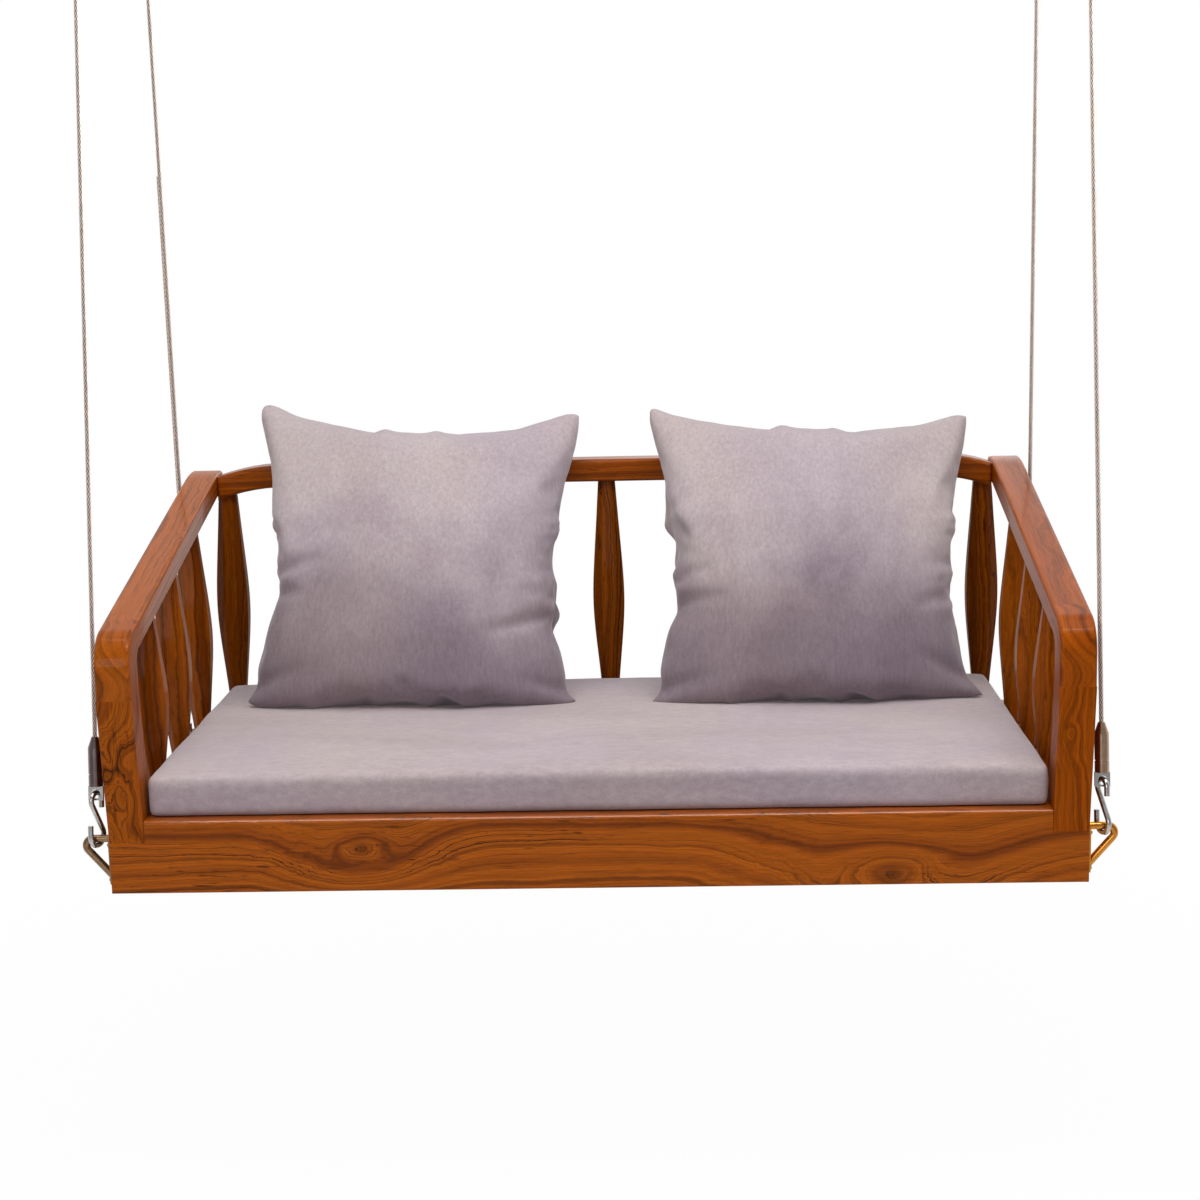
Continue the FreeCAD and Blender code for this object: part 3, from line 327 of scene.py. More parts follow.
def teak(name, along=(1, 0, 0), tone=1.0, seed=0.0, knots=(), figure=1.0, bend_centre=None,
         streaks=1.0, polish=1.0, tint=(1, 1, 1), coat=0.20, top_coat=None):
    # tone and tint scale the colour and figure the waves; top_coat is the coat of what
    # looks up, where it differs.
    material, tree, shader = new_material(name)
    places = board_places(tree, along, bend_centre)
    u, v, w = places
    local = node(tree, "CombineXYZ", X=u, Y=v, Z=w).outputs[0]
    shifted = vector_maths(tree, "ADD", local, tuple(seed * value for value in SEED_SHIFTS))
    across = warped_across(tree, places, shifted, knots, figure, seed)
    streak = line_noise(tree, across, STREAKS, 4.0, 0.7)
    fibre = stretched_noise(tree, shifted, FIBRES, 3.0, 0.6)
    pores = stretched_noise(tree, shifted, PORES, 1.0)
    colour = lined_colour(tree, across, shifted, streaks)
    shades = ramp(tree, streak, [(0.34, grey(0.55)), (0.52, grey(1.06)), (0.70, grey(1.16))])
    colour = times(tree, colour, shades)
    colour = times(tree, colour, ramp(tree, fibre, [(0.32, grey(0.80)), (0.60, grey(1.06))]))
    colour = times(tree, colour, ramp(tree, pores, [(0.30, grey(0.62)), (0.36, grey(1.0))]), PORE_DARK)
    for knot in knots:
        du, dv = knot_offset(tree, u, v, knot, EYE_ALONG)
        eye = nearness(tree, du, dv, knot[2], EYE_SHARP)[1]
        eye = maths(tree, "MULTIPLY", eye, ramp(tree, streak, [(0.35, grey(0.2)), (0.6, grey(1.0))]))
        colour = mix(tree, maths(tree, "MULTIPLY", eye, knot[4]), colour, (*DARK, 1))
    colour = times(tree, colour, (*(tone * value for value in tint), 1))
    tree.links.new(colour, shader.inputs["Base Color"])
    rough = RAW_ROUGH - POLISH_SMOOTHS * polish
    gloss = ramp(tree, fibre, [(0.3, grey(rough)), (0.7, grey(rough - FIBRE_SMOOTHS))])
    tree.links.new(gloss, shader.inputs["Roughness"])
    shader.inputs["Specular IOR Level"].default_value = OIL_SPECULAR * polish
    shader.inputs["Specular Tint"].default_value = (*OIL_TINT, 1)
    shader.inputs["Coat Weight"].default_value = coat * polish
    shader.inputs["Coat Roughness"].default_value = COAT_ROUGH
    if top_coat:
        # The lacquer lies thicker on the edges and faces that look up.
        facing = part_of(tree, node(tree, "NewGeometry").outputs["Normal"], "Z")
        weight = smooth_step(tree, facing, *LOOKS_UP, coat * polish, top_coat)
        tree.links.new(weight, shader.inputs["Coat Weight"])
    height = maths(tree, "ADD", fibre, maths(tree, "MULTIPLY", pores, 0.5))
    add_bump(tree, shader, height, 0.10, 0.0006)
    return material


# Metals: scratches, clouds and tarnish in repeats per metre
SCRATCHES = 900.0
CLOUDS = 160.0
TARNISH = 420.0
SCRATCH_WEAR = 0.03
CLOUD_SHADE = 0.85


def metal(name, colour, rough, spots=0.0, spot_colour=(0.2, 0.12, 0.05)):
    # spots is how far the tarnish covers the metal at its darkest.
    material, tree, shader = new_material(name)
    coords = object_coordinates(tree)
    scratches = noise_value(tree, coords, SCRATCHES, 3.0, 0.65)
    worn = [(0.3, grey(rough - SCRATCH_WEAR)), (0.7, grey(rough + SCRATCH_WEAR))]
    tree.links.new(ramp(tree, scratches, worn), shader.inputs["Roughness"])
    shade = tuple(value * CLOUD_SHADE for value in colour)
    tint = ramp(tree, noise_value(tree, coords, CLOUDS, 3.0, 0.6), [(0.36, shade), (0.62, colour)])
    if spots:
        tarnish = noise_value(tree, coords, TARNISH, 4.0, 0.7)
        mask = ramp(tree, tarnish, [(0.48, grey(0)), (0.66, grey(spots))])
        tint = mix(tree, mask, tint, (*spot_colour, 1))
    tree.links.new(tint, shader.inputs["Base Color"])
    shader.inputs["Metallic"].default_value = 1.0
    add_bump(tree, shader, scratches, 0.03, 0.0003)
    return material


# Short-pile upholstery: brushed patches, a fine nap and a soft sheen
PILE_LIGHT = (0.550, 0.470, 0.482)
PILE_DARK = (0.415, 0.342, 0.368)
PILE_COOL = (0.965, 0.960, 1.00)
PILE_WARM = (1.02, 1.01, 0.97)
PILE_SHEEN = (0.95, 0.90, 0.93)
# Repeats per metre of the drift between cool and warm, of the nap and of the weave
DRIFT = (4.0, 4.0, 5.0)
NAP = 900.0
WEAVE = 260.0
# How much each pattern counts in the colour
PATCH_SHARE = 0.46
STROKE_SHARE = 0.36
WEAVE_SHARE = 0.18
CLOTH_SHIFTS = (1, 2, 3)


def painted_low_shade(tree, colour, broad, below, fade, low_shade_tint):
    # Below a height the colour is darkened by a tint, over a fade in metres: painted shade on the lower
    # parts, which face down and away from the light.
    height = part_of(tree, object_coordinates(tree), "Z")
    height = maths(tree, "MULTIPLY_ADD", centred(tree, broad), fade, height)
    in_low_shade = smooth_step(tree, height, below - fade, below, 0.0, 1.0)
    return times(tree, colour, mix(tree, in_low_shade, (*low_shade_tint, 1), (1, 1, 1, 1)))


def upholstery(name, patches, stroke, below, fade, low_shade_tint, tone, seed):
    # patches and stroke are the repeats per metre of the brushed patches and of the nap's strokes; below,
    # fade and the tint after them set the painted shade low down.
    material, tree, shader = new_material(name)
    shift = tuple(seed * value for value in CLOTH_SHIFTS)
    coords = vector_maths(tree, "ADD", object_coordinates(tree), shift)
    broad = stretched_noise(tree, coords, patches, 3.0, 0.55, 0.4)
    strokes = stretched_noise(tree, coords, stroke, 4.0, 0.62, 0.2)
    nap = noise_value(tree, coords, NAP, 3.0, 0.7)
    weave = noise_value(tree, coords, WEAVE, 3.0, 0.6)
    value = maths(tree, "MULTIPLY_ADD", strokes, STROKE_SHARE, maths(tree, "MULTIPLY", broad, PATCH_SHARE))
    value = maths(tree, "MULTIPLY_ADD", weave, WEAVE_SHARE, value)
    light = tuple(min(1, item * tone) for item in PILE_LIGHT)
    dark = tuple(item * tone for item in PILE_DARK)
    colour = ramp(tree, value, [(0.36, dark), (0.64, light)])
    drift = stretched_noise(tree, coords, DRIFT, 2.0)
    colour = times(tree, colour, ramp(tree, drift, [(0.40, PILE_COOL), (0.62, PILE_WARM)]))
    colour = times(tree, colour, ramp(tree, nap, [(0.34, grey(0.86)), (0.66, grey(1.08))]))
    colour = times(tree, colour, ramp(tree, strokes, [(0.36, grey(0.97)), (0.64, grey(1.02))]))
    # Painted shade: the seat's front face and the pillows' lower halves take the darker tint
    colour = painted_low_shade(tree, colour, broad, below, fade, low_shade_tint)
    tree.links.new(colour, shader.inputs["Base Color"])
    shader.inputs["Roughness"].default_value = 0.92
    shader.inputs["Specular IOR Level"].default_value = 0.15
    shader.inputs["Sheen Weight"].default_value = 0.45
    shader.inputs["Sheen Roughness"].default_value = 0.45
    shader.inputs["Sheen Tint"].default_value = (*PILE_SHEEN, 1)
    height = maths(tree, "MULTIPLY_ADD", nap, 0.5, maths(tree, "MULTIPLY", strokes, 0.8))
    add_bump(tree, shader, height, 0.22, 0.0009)
    return material


# Plain seat board and bearers, seen only from below
PALE_BANDS = (2, 26, 26)
PALE_FIBRES = (20, 500, 500)


def pale_wood(name, light, dark):
    material, tree, shader = new_material(name)
    u, v, w = board_places(tree, (1, 0, 0))
    local = node(tree, "CombineXYZ", X=u, Y=v, Z=w).outputs[0]
    bands = stretched_noise(tree, local, PALE_BANDS, 4.0, 0.6, 0.8)
    fibre = stretched_noise(tree, local, PALE_FIBRES, 3.0, 0.6)
    colour = ramp(tree, bands, [(0.35, dark), (0.6, light)])
    colour = times(tree, colour, ramp(tree, fibre, [(0.3, grey(0.8)), (0.6, grey(1.0))]))
    tree.links.new(colour, shader.inputs["Base Color"])
    shader.inputs["Roughness"].default_value = 0.7
    add_bump(tree, shader, fibre, 0.2, 0.0005)
    return material


# Wire ropes: routes first, then six strands laid round a near-black core along each route; the core is
# painted shadow in the grooves between the strands
ROPE_WIDE = 0.006
BAR_LOW = Vector((0.630, 0.284, -1.183))
STAPLE_HIGH = Vector((0.613, 0.179, -0.027))
REAR_HOOK_BACK = 0.0011
# Where a rope starts above its bracket's bar, and ends below its staple
ROPE_UP = {"front": 0.07617, "rear": 0.07547}
ROPE_DOWN = 0.032
# The cut end that lies beside the rear left rope
TAIL_LOW = Vector((-0.63157, 0.28114, -1.08203))
TAIL_HIGH = Vector((-0.62086, 0.21428, -0.35352))
STRANDS = 6
LAY_LONG = 0.036
LAY_STEPS = 12
STRAND_WIDE = 0.0014
# The core tube is near black: painted shadow that shows between the strands
SHADOW_CORE_WIDE = 0.0036
STRAND_SIDES = 6
# A route's second point lies this many diameters from the fitting
STRAIGHT_DIAMETERS = 6
ROUTE_STEPS = 24
# A direction that no rope runs along
ASIDE = Vector((0.2, 1, 0.1))


def rope_route(low, high):
    # Straight under load, with a point near each fitting.
    way = (high - low).normalized()
    near = STRAIGHT_DIAMETERS * ROPE_WIDE
    return [low, low + way * near, high - way * near, high]


def route_points(name, route):
    # Points of the smooth line that has the route's points as its control points.
    data = bpy.data.curves.new(name + "_route", "CURVE")
    data.dimensions = "3D"
    spline = data.splines.new("NURBS")
    spline.points.add(len(route) - 1)
    for point, place in zip(spline.points, route):
        point.co = (*place, 1)
    spline.order_u = 3
    spline.use_endpoint_u = True
    spline.resolution_u = ROUTE_STEPS
    holder = bpy.data.objects.new(name + "_route", data)
    scene.collection.objects.link(holder)
    line = bpy.data.meshes.new_from_object(holder)
    points = [vertex.co.copy() for vertex in line.vertices]
    bpy.data.objects.remove(holder)
    bpy.data.meshes.remove(line)
    return points


def even_points(points, step):
    # The same line with points at an even spacing.
    lengths = [0.0]
    for first, second in zip(points, points[1:]):
        lengths.append(lengths[-1] + (second - first).length)
    count = max(2, round(lengths[-1] / step))
    result = []
    index = 0
    for number in range(count + 1):
        target = lengths[-1] * number / count
        while index < len(points) - 2 and lengths[index + 1] < target:
            index += 1
        span = lengths[index + 1] - lengths[index]
        result.append(points[index].lerp(points[index + 1], (target - lengths[index]) / span))
    return result


def round_offset(side, other, angle, radius):
    return (side * math.cos(angle) + other * math.sin(angle)) * radius


def tube(mesh, centres, radius, sides, slot=0):
    # A closed tube round a run of centres, added to a bmesh; slot is its material's place.
    rings = []
    for index, centre in enumerate(centres):
        before = centres[max(index - 1, 0)]
        after = centres[min(index + 1, len(centres) - 1)]
        way = (after - before).normalized()
        side = way.cross(ASIDE).normalized()
        other = way.cross(side)
        ring = []
        for number in range(sides):
            offset = round_offset(side, other, 2 * math.pi * number / sides, radius)
            ring.append(mesh.verts.new(centre + offset))
        rings.append(ring)
    for first, second in zip(rings, rings[1:]):
        for number in range(sides):
            after = (number + 1) % sides
            face = mesh.faces.new((first[number], first[after], second[after], second[number]))
            face.material_index = slot
    mesh.faces.new(list(reversed(rings[0]))).material_index = slot
    mesh.faces.new(rings[-1]).material_index = slot


def finish_mesh(name, mesh, material):
    data = bpy.data.meshes.new(name)
    bmesh.ops.recalc_face_normals(mesh, faces=mesh.faces)
    mesh.to_mesh(data)
    mesh.free()
    for face in data.polygons:
        face.use_smooth = True
    data.materials.append(material)
    made = bpy.data.objects.new(name, data)
    scene.collection.objects.link(made)
    return made


def make_rope(name, low, high, material, shadow_core):
    path = even_points(route_points(name, rope_route(low, high)), LAY_LONG / LAY_STEPS)
    way = (high - low).normalized()
    side = way.cross(Vector((0, 1, 0))).normalized()
    other = way.cross(side)
    out = (ROPE_WIDE - STRAND_WIDE) / 2
    mesh = bmesh.new()
    # The core tube takes the second slot: painted groove shadow
    tube(mesh, path, SHADOW_CORE_WIDE / 2, STRAND_SIDES, slot=1)
    for number in range(STRANDS):
        start = 2 * math.pi * number / STRANDS
        centres = []
        for index, place in enumerate(path):
            angle = start + 2 * math.pi * index / LAY_STEPS
            centres.append(place + round_offset(side, other, angle, out))
        tube(mesh, centres, STRAND_WIDE / 2, STRAND_SIDES)
    made = finish_mesh(name, mesh, material)
    made.data.materials.append(shadow_core)
    return made, path


def rope_ends(end, side):
    sign_y = dict(ENDS)[end]
    sign_x = dict(SIDES)[side]
    low = Vector((sign_x * BAR_LOW.x, sign_y * BAR_LOW.y, BAR_LOW.z))
    if end == "rear":
        low.y += REAR_HOOK_BACK
    high = Vector((sign_x * STAPLE_HIGH.x, sign_y * STAPLE_HIGH.y, STAPLE_HIGH.z))
    way = (high - low).normalized()
    return low + way * ROPE_UP[end], high - way * ROPE_DOWN


# Soft goods: each is simulated from a plain closed form, then fitted to its outline
SIM_FRAMES = 20
CLOTH_QUALITY = 6
CLOTH_MASS = 0.3
SHEAR_SHARE = 0.6
AIR_DAMPING = 1.5


def simulate(piece, pressure, reach, stiff, bending):
    # Cloth under inner pressure; no point moves further than reach. The result is applied.
    start = [vertex.co.copy() for vertex in piece.data.vertices]
    cloth = piece.modifiers.new("cloth", "CLOTH")
    settings = cloth.settings
    settings.quality = CLOTH_QUALITY
    settings.mass = CLOTH_MASS
    settings.tension_stiffness = stiff
    settings.compression_stiffness = stiff
    settings.shear_stiffness = stiff * SHEAR_SHARE
    settings.bending_stiffness = bending
    settings.use_pressure = True
    settings.uniform_pressure_force = pressure
    settings.effector_weights.gravity = 0.0
    settings.air_damping = AIR_DAMPING
    cloth.point_cache.frame_start = 1
    cloth.point_cache.frame_end = SIM_FRAMES
    for number in range(1, SIM_FRAMES + 1):
        scene.frame_set(number)
    ready = piece.evaluated_get(bpy.context.evaluated_depsgraph_get()).to_mesh()
    places = [vertex.co.copy() for vertex in ready.vertices]
    piece.modifiers.remove(cloth)
    scene.frame_set(1)
    for vertex, before, after in zip(piece.data.vertices, start, places):
        step = after - before
        if step.length > reach:
            step = step.normalized() * reach
        vertex.co = before + step


def subdivided(piece):
    made = piece.modifiers.new("subdivision", "SUBSURF")
    made.levels = 1
    made.render_levels = 1


def smooth_between(places, share):
    # The point (across, up) at a share, on the smooth curve through (share, across, up).
    for index in range(len(places) - 1):
        if share <= places[index + 1][0] or index == len(places) - 2:
            break
    first, second = places[index], places[index + 1]
    before = places[max(index - 1, 0)]
    after = places[min(index + 2, len(places) - 1)]
    gap = second[0] - first[0]
    part = min(1.0, max(0.0, (share - first[0]) / gap))
    result = []
    for item in (1, 2):
        low, high = first[item], second[item]
        slope_low = (high - before[item]) / max(second[0] - before[0], 1e-6) * gap
        slope_high = (after[item] - low) / max(after[0] - first[0], 1e-6) * gap
        square, cube = part * part, part * part * part
        result.append((2 * cube - 3 * square + 1) * low + (cube - 2 * square + part) * slope_low
                      + (3 * square - 2 * cube) * high + (cube - square) * slope_high)
    return result


# Pillow outlines in metres from the middle of each: share along the side, across, up
PILLOW_HALF = 0.229
PILLOW_OUTLINES = {
    "left": {
        "foot": [(0, -0.244, -0.205), (0.05, -0.226, -0.214), (0.12, -0.203, -0.218),
                 (0.28, -0.123, -0.217), (0.54, 0.010, -0.214), (0.80, 0.130, -0.219),
                 (0.93, 0.205, -0.220), (1, 0.229, -0.210)],
        "top": [(0, -0.231, 0.230), (0.03, -0.2235, 0.236), (0.07, -0.208, 0.233),
                (0.12, -0.180, 0.2185), (0.22, -0.132, 0.205), (0.41, -0.046, 0.188),
                (0.60, 0.043, 0.186), (0.80, 0.131, 0.190), (0.90, 0.181, 0.203),
                (0.96, 0.216, 0.2135), (1, 0.234, 0.211)],
        "near": [(0, -0.244, -0.205), (0.06, -0.229, -0.182), (0.15, -0.226, -0.149),
                 (0.26, -0.213, -0.103), (0.38, -0.193, -0.044), (0.46, -0.194, -0.010),
                 (0.55, -0.201, 0.030), (0.68, -0.206, 0.090), (0.85, -0.221, 0.166),
                 (0.95, -0.2315, 0.210), (1, -0.231, 0.230)],
        "far": [(0, 0.229, -0.210), (0.04, 0.2135, -0.197), (0.10, 0.210, -0.171),
                (0.19, 0.202, -0.132), (0.28, 0.190, -0.098), (0.36, 0.195, -0.062),
                (0.48, 0.193, -0.007), (0.62, 0.202, 0.052), (0.73, 0.209, 0.097),
                (0.90, 0.2285, 0.168), (1, 0.234, 0.211)],
    },
    "right": {
        "foot": [(0, -0.238, -0.215), (0.05, -0.220, -0.2215), (0.13, -0.178, -0.224),
                 (0.27, -0.110, -0.220), (0.45, -0.026, -0.217), (0.69, 0.085, -0.217),
                 (0.88, 0.173, -0.2165), (1, 0.234, -0.212)],
        "top": [(0, -0.231, 0.2165), (0.03, -0.2235, 0.219), (0.08, -0.198, 0.209),
                (0.19, -0.142, 0.195), (0.34, -0.072, 0.185), (0.56, 0.030, 0.177),
                (0.78, 0.130, 0.183), (0.87, 0.171, 0.189), (0.94, 0.205, 0.199),
                (1, 0.2265, 0.1985)],
        "near": [(0, -0.238, -0.215), (0.06, -0.222, -0.195), (0.14, -0.221, -0.163),
                 (0.25, -0.209, -0.112), (0.32, -0.195, -0.083), (0.38, -0.198, -0.054),
                 (0.45, -0.195, -0.025), (0.61, -0.200, 0.049), (0.79, -0.214, 0.124),
                 (0.94, -0.2305, 0.193), (1, -0.231, 0.2165)],
        "far": [(0, 0.234, -0.212), (0.09, 0.208, -0.178), (0.23, 0.199, -0.119),
                (0.33, 0.189, -0.075), (0.42, 0.193, -0.038), (0.54, 0.195, 0.012),
                (0.72, 0.204, 0.086), (0.90, 0.221, 0.161), (1, 0.2265, 0.1985)],
    },
}
# Creases of each pillow: start, end (across, up), half width, depth
PILLOW_CREASES = {
    "left": [((-0.196, -0.030), (-0.135, -0.014), 0.008, 0.018),
             ((-0.193, -0.056), (-0.150, -0.062), 0.007, 0.012),
             ((0.190, -0.095), (0.110, -0.120), 0.009, 0.019),
             ((0.193, -0.066), (0.150, -0.062), 0.006, 0.007),
             ((-0.110, 0.140), (-0.060, -0.020), 0.007, 0.0018),
             ((-0.080, 0.130), (-0.030, -0.030), 0.007, 0.0016),
             ((0.196, -0.010), (0.165, -0.004), 0.005, 0.005),
             ((-0.225, -0.185), (-0.165, -0.168), 0.008, 0.012),
             ((0.205, -0.196), (0.150, -0.186), 0.007, 0.010)],
    "right": [((-0.196, -0.080), (-0.135, -0.076), 0.008, 0.018),
              ((-0.196, -0.045), (-0.145, -0.036), 0.007, 0.013),
              ((-0.200, 0.060), (-0.150, 0.078), 0.006, 0.006),
              ((0.190, -0.078), (0.135, -0.092), 0.008, 0.016),
              ((0.192, -0.030), (0.155, -0.030), 0.006, 0.007),
              ((0.195, 0.012), (0.168, 0.018), 0.005, 0.005),
              ((0.205, -0.188), (0.140, -0.158), 0.008, 0.013),
              ((-0.220, -0.198), (-0.160, -0.186), 0.008, 0.012)],
}
PILLOW_GRID = 60
PILLOW_START_DEEP = 0.045
PILLOW_START_POWER = 0.6
PILLOW_HALF_DEEP = 0.080
PILLOW_TILT = math.radians(22.87)
PILLOW_PLACES = {"left": (-0.262, 0.1474, -0.9005), "right": (0.303, 0.1474, -0.9005)}
PILLOW_SEEDS = {"left": 3.0, "right": 11.0}
PILLOW_PRESSURE = 2.5
PILLOW_REACH = 0.2
PILLOW_STIFF = 15.0
PILLOW_BENDING = 1.0
# The filling has sunk: fullest low down, thinner towards the upper seam
SUNK_LEAST = 0.70
SUNK_MORE = 0.30
SUNK_START = 0.27
SUNK_RUN = 0.73
SUNK_POWER = 0.8
# A crease loses this share of its depth at its end, and fades where the pillow is thin
CREASE_FADE = 0.8
CREASE_THIN = 0.014
# Ripples: repeats per metre, height, and the layer of the noise
BROAD_RIPPLES = (9, 0.0045, 2.0)
SMALL_RIPPLES = (30, 0.0012, 5.0)
RIPPLE_INSET = 4
# What a pillow presses against: the cushion's top and the front of the back rail
CUSHION_TOP = -1.0985
RAIL_FRONT = 0.2595
RAIL_MIDDLE = -0.792
RAIL_FLAT = 0.022
RAIL_ROUND = 1.2


def pillow_grid():
    # Two square faces welded along their border, with shares (s, t) for every point.
    mesh = bmesh.new()
    count = PILLOW_GRID
    shares = []
    sheets = []
    for face in (-1, 1):
        rows = []
        for up in range(count + 1):
            row = []
            for across in range(count + 1):
                s, t = across / count, up / count
                border = across in (0, count) or up in (0, count)
                if face == 1 and border:
                    row.append(sheets[0][up][across])
                    continue
                dome = (1 - (2 * s - 1) ** 2) * (1 - (2 * t - 1) ** 2)
                deep = 0 if border else face * PILLOW_START_DEEP * dome ** PILLOW_START_POWER
                place = ((2 * s - 1) * PILLOW_HALF, deep, (2 * t - 1) * PILLOW_HALF)
                row.append(mesh.verts.new(place))
                shares.append((s, t))
            rows.append(row)
        sheets.append(rows)
        for low, high in zip(rows, rows[1:]):
            for across in range(count):
                corners = [low[across], low[across + 1], high[across + 1], high[across]]
                mesh.faces.new(corners if face == -1 else list(reversed(corners)))
    mesh.verts.index_update()
    return mesh, shares


def distance_to_run(place, start, end):
    along = end - start
    part = max(0.0, min(1.0, (place - start).dot(along) / along.length_squared))
    return (place - start - along * part).length, part


def fit_outline(piece, shares, outline):
    # Moves each point by a blend of how far the four sides lie from their outline.
    points = piece.data.vertices
    edges = {"near": {}, "far": {}, "foot": {}, "top": {}}
    for vertex, (s, t) in zip(points, shares):
        if s in (0, 1):
            edges["near" if s == 0 else "far"][round(t * PILLOW_GRID)] = vertex.co.copy()
        if t in (0, 1):
            edges["foot" if t == 0 else "top"][round(s * PILLOW_GRID)] = vertex.co.copy()

    def shift(side, share):
        across, up = smooth_between(outline[side], share)
        place = edges[side][round(share * PILLOW_GRID)]
        return Vector((across - place.x, -place.y, up - place.z))

    corners = {(s, t): shift("foot" if t == 0 else "top", s) for s in (0, 1) for t in (0, 1)}
    moves = []
    for s, t in shares:
        move = (1 - s) * shift("near", t) + s * shift("far", t)
        move += (1 - t) * shift("foot", s) + t * shift("top", s)
        for (corner_s, corner_t), value in corners.items():
            move -= (s if corner_s else 1 - s) * (t if corner_t else 1 - t) * value
        moves.append(move)
    for vertex, move in zip(points, moves):
        vertex.co += move


def ripple(point, sign, seed, repeats, height, layer):
    return height * noise.noise(Vector((point.x * repeats + seed, sign * layer, point.z * repeats)))


def pillow_depth(point, s, t, fullness, creases, seed):
    # How far a point stands off the seam's plane: filling, then creases, then ripples.
    sunk = SUNK_LEAST + SUNK_MORE * max(0.0, math.sin(math.pi * (SUNK_START + SUNK_RUN * t))) ** SUNK_POWER
    deep = fullness * PILLOW_HALF_DEEP * sunk
    sign = -1 if deep < 0 else 1
    flat = Vector((point.x, point.z))
    for start, end, wide, depth in creases:
        gap, part = distance_to_run(flat, start, end)
        cut = depth * (1 - part * CREASE_FADE) * math.exp(-(gap / wide) ** 2)
        deep -= sign * cut * min(1.0, abs(deep) / CREASE_THIN)
    inner = min(1.0, min(s, 1 - s, t, 1 - t) * RIPPLE_INSET)
    waves = ripple(point, sign, seed, *BROAD_RIPPLES) + ripple(point, sign, seed, *SMALL_RIPPLES)
    return deep + sign * inner * waves


def make_pillow(side, material):
    mesh, shares = pillow_grid()
    piece = finish_mesh(f"pillow_cover_{side}", mesh, material)
    simulate(piece, PILLOW_PRESSURE, PILLOW_REACH, PILLOW_STIFF, PILLOW_BENDING)
    fit_outline(piece, shares, PILLOW_OUTLINES[side])
    deepest = max(abs(vertex.co.y) for vertex in piece.data.vertices)
    creases = [(Vector(start), Vector(end), wide, deep) for start, end, wide, deep in PILLOW_CREASES[side]]
    turn = Matrix.Rotation(-PILLOW_TILT, 4, "X")
    place = Matrix.Translation(PILLOW_PLACES[side]) @ turn
    for vertex, (s, t) in zip(piece.data.vertices, shares):
        point = vertex.co
        deep = pillow_depth(point, s, t, point.y / deepest, creases, PILLOW_SEEDS[side])
        vertex.co = place @ Vector((point.x, deep, point.z))
        vertex.co.z = max(vertex.co.z, CUSHION_TOP)
        past_flat = max(0.0, abs(vertex.co.z - RAIL_MIDDLE) - RAIL_FLAT)
        vertex.co.y = min(vertex.co.y, RAIL_FRONT + RAIL_ROUND * past_flat)
    subdivided(piece)
    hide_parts(f"pillow_{side}")
    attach(piece, "seat")


# Seat cushion: a foam slab in a sewn cover, with a soft worn edge
CUSHION_STEP = 0.010
CUSHION_ROUND = 0.005
CUSHION_EDGE_HIGH = 0.0525
CUSHION_CROWN = 0.006
CUSHION_FRONT_GAP = 0.001
CUSHION_PRESSURE = 0.25
CUSHION_REACH = 0.002
CUSHION_STIFF = 20.0
CUSHION_BENDING = 4.0
# How flat the crown is along and across before it falls off to the edges
CROWN_POWERS = (8, 6)
# Waves of the top and of the edge: heights in metres, repeats per metre, noise layers
TOP_WAVE = 0.0022
TOP_WAVE_REPEATS = (6, 9)
TOP_WAVE_LAYER = 1.3
TOP_RIPPLE = 0.0007
TOP_RIPPLE_REPEATS = (24, 30, 30)
EDGE_WAVE = 0.0018
EDGE_WAVE_REPEATS = (11, 20)
EDGE_WAVE_LAYER = 7.0
EDGE_DRAWN_IN = 0.0012
# The edge is the last fifth of the half depth
EDGE_STARTS = 0.8
EDGE_SHARE = 0.2


def rounded_slab(low, high, radius, step):
    # The surface of a box with all its edges rounded, as an even grid.
    mesh = bmesh.new()
    counts = [max(2, round((high[axis] - low[axis]) / step)) for axis in range(3)]
    seen = {}

    def place_on(axis, number):
        return low[axis] + (high[axis] - low[axis]) * number / counts[axis]

    def point(cell):
        if cell not in seen:
            place = [place_on(axis, cell[axis]) for axis in range(3)]
            inner = [min(max(place[axis], low[axis] + radius), high[axis] - radius) for axis in range(3)]
            away = Vector(place) - Vector(inner)
            if away.length > 0:
                away = away.normalized() * radius
            seen[cell] = mesh.verts.new(Vector(inner) + away)
        return seen[cell]

    for axis in range(3):
        first, second = [other for other in range(3) if other != axis]
        for end in (0, counts[axis]):
            for i in range(counts[first]):
                for j in range(counts[second]):
                    corners = []
                    for step_i, step_j in ((0, 0), (1, 0), (1, 1), (0, 1)):
                        cell = [0, 0, 0]
                        cell[axis] = end
                        cell[first] = i + step_i
                        cell[second] = j + step_j
                        corners.append(point(tuple(cell)))
                    mesh.faces.new(corners)
    return mesh


def shape_cushion(place, low, high):
    # Crowns the top, waves it, and draws the front and back in a little.
    middle = (low + high) / 2
    half = (high - low) / 2
    s = (place.x - middle.x) / half.x
    t = (place.y - middle.y) / half.y
    lift = max(0.0, min(1.0, (place.z - low.z) / CUSHION_EDGE_HIGH))
    dome = max(0.0, 1 - s ** CROWN_POWERS[0]) * max(0.0, 1 - t ** CROWN_POWERS[1])
    along, back = TOP_WAVE_REPEATS
    wave = noise.noise(Vector((place.x * along, place.y * back, TOP_WAVE_LAYER)))
    small = noise.noise(Vector([value * repeats for value, repeats in zip(place, TOP_RIPPLE_REPEATS)]))
    place.z += lift * (CUSHION_CROWN * dome + TOP_WAVE * wave + TOP_RIPPLE * small)
    edge = max(0.0, abs(t) - EDGE_STARTS) / EDGE_SHARE
    along, up = EDGE_WAVE_REPEATS
    fold = noise.noise(Vector((place.x * along, place.z * up, EDGE_WAVE_LAYER)))
    place.y += math.copysign(edge, t) * (EDGE_WAVE * fold - EDGE_DRAWN_IN)
    place.z = max(place.z, low.z)
    place.x = min(max(place.x, low.x), high.x)
    place.y = min(max(place.y, low.y), high.y)


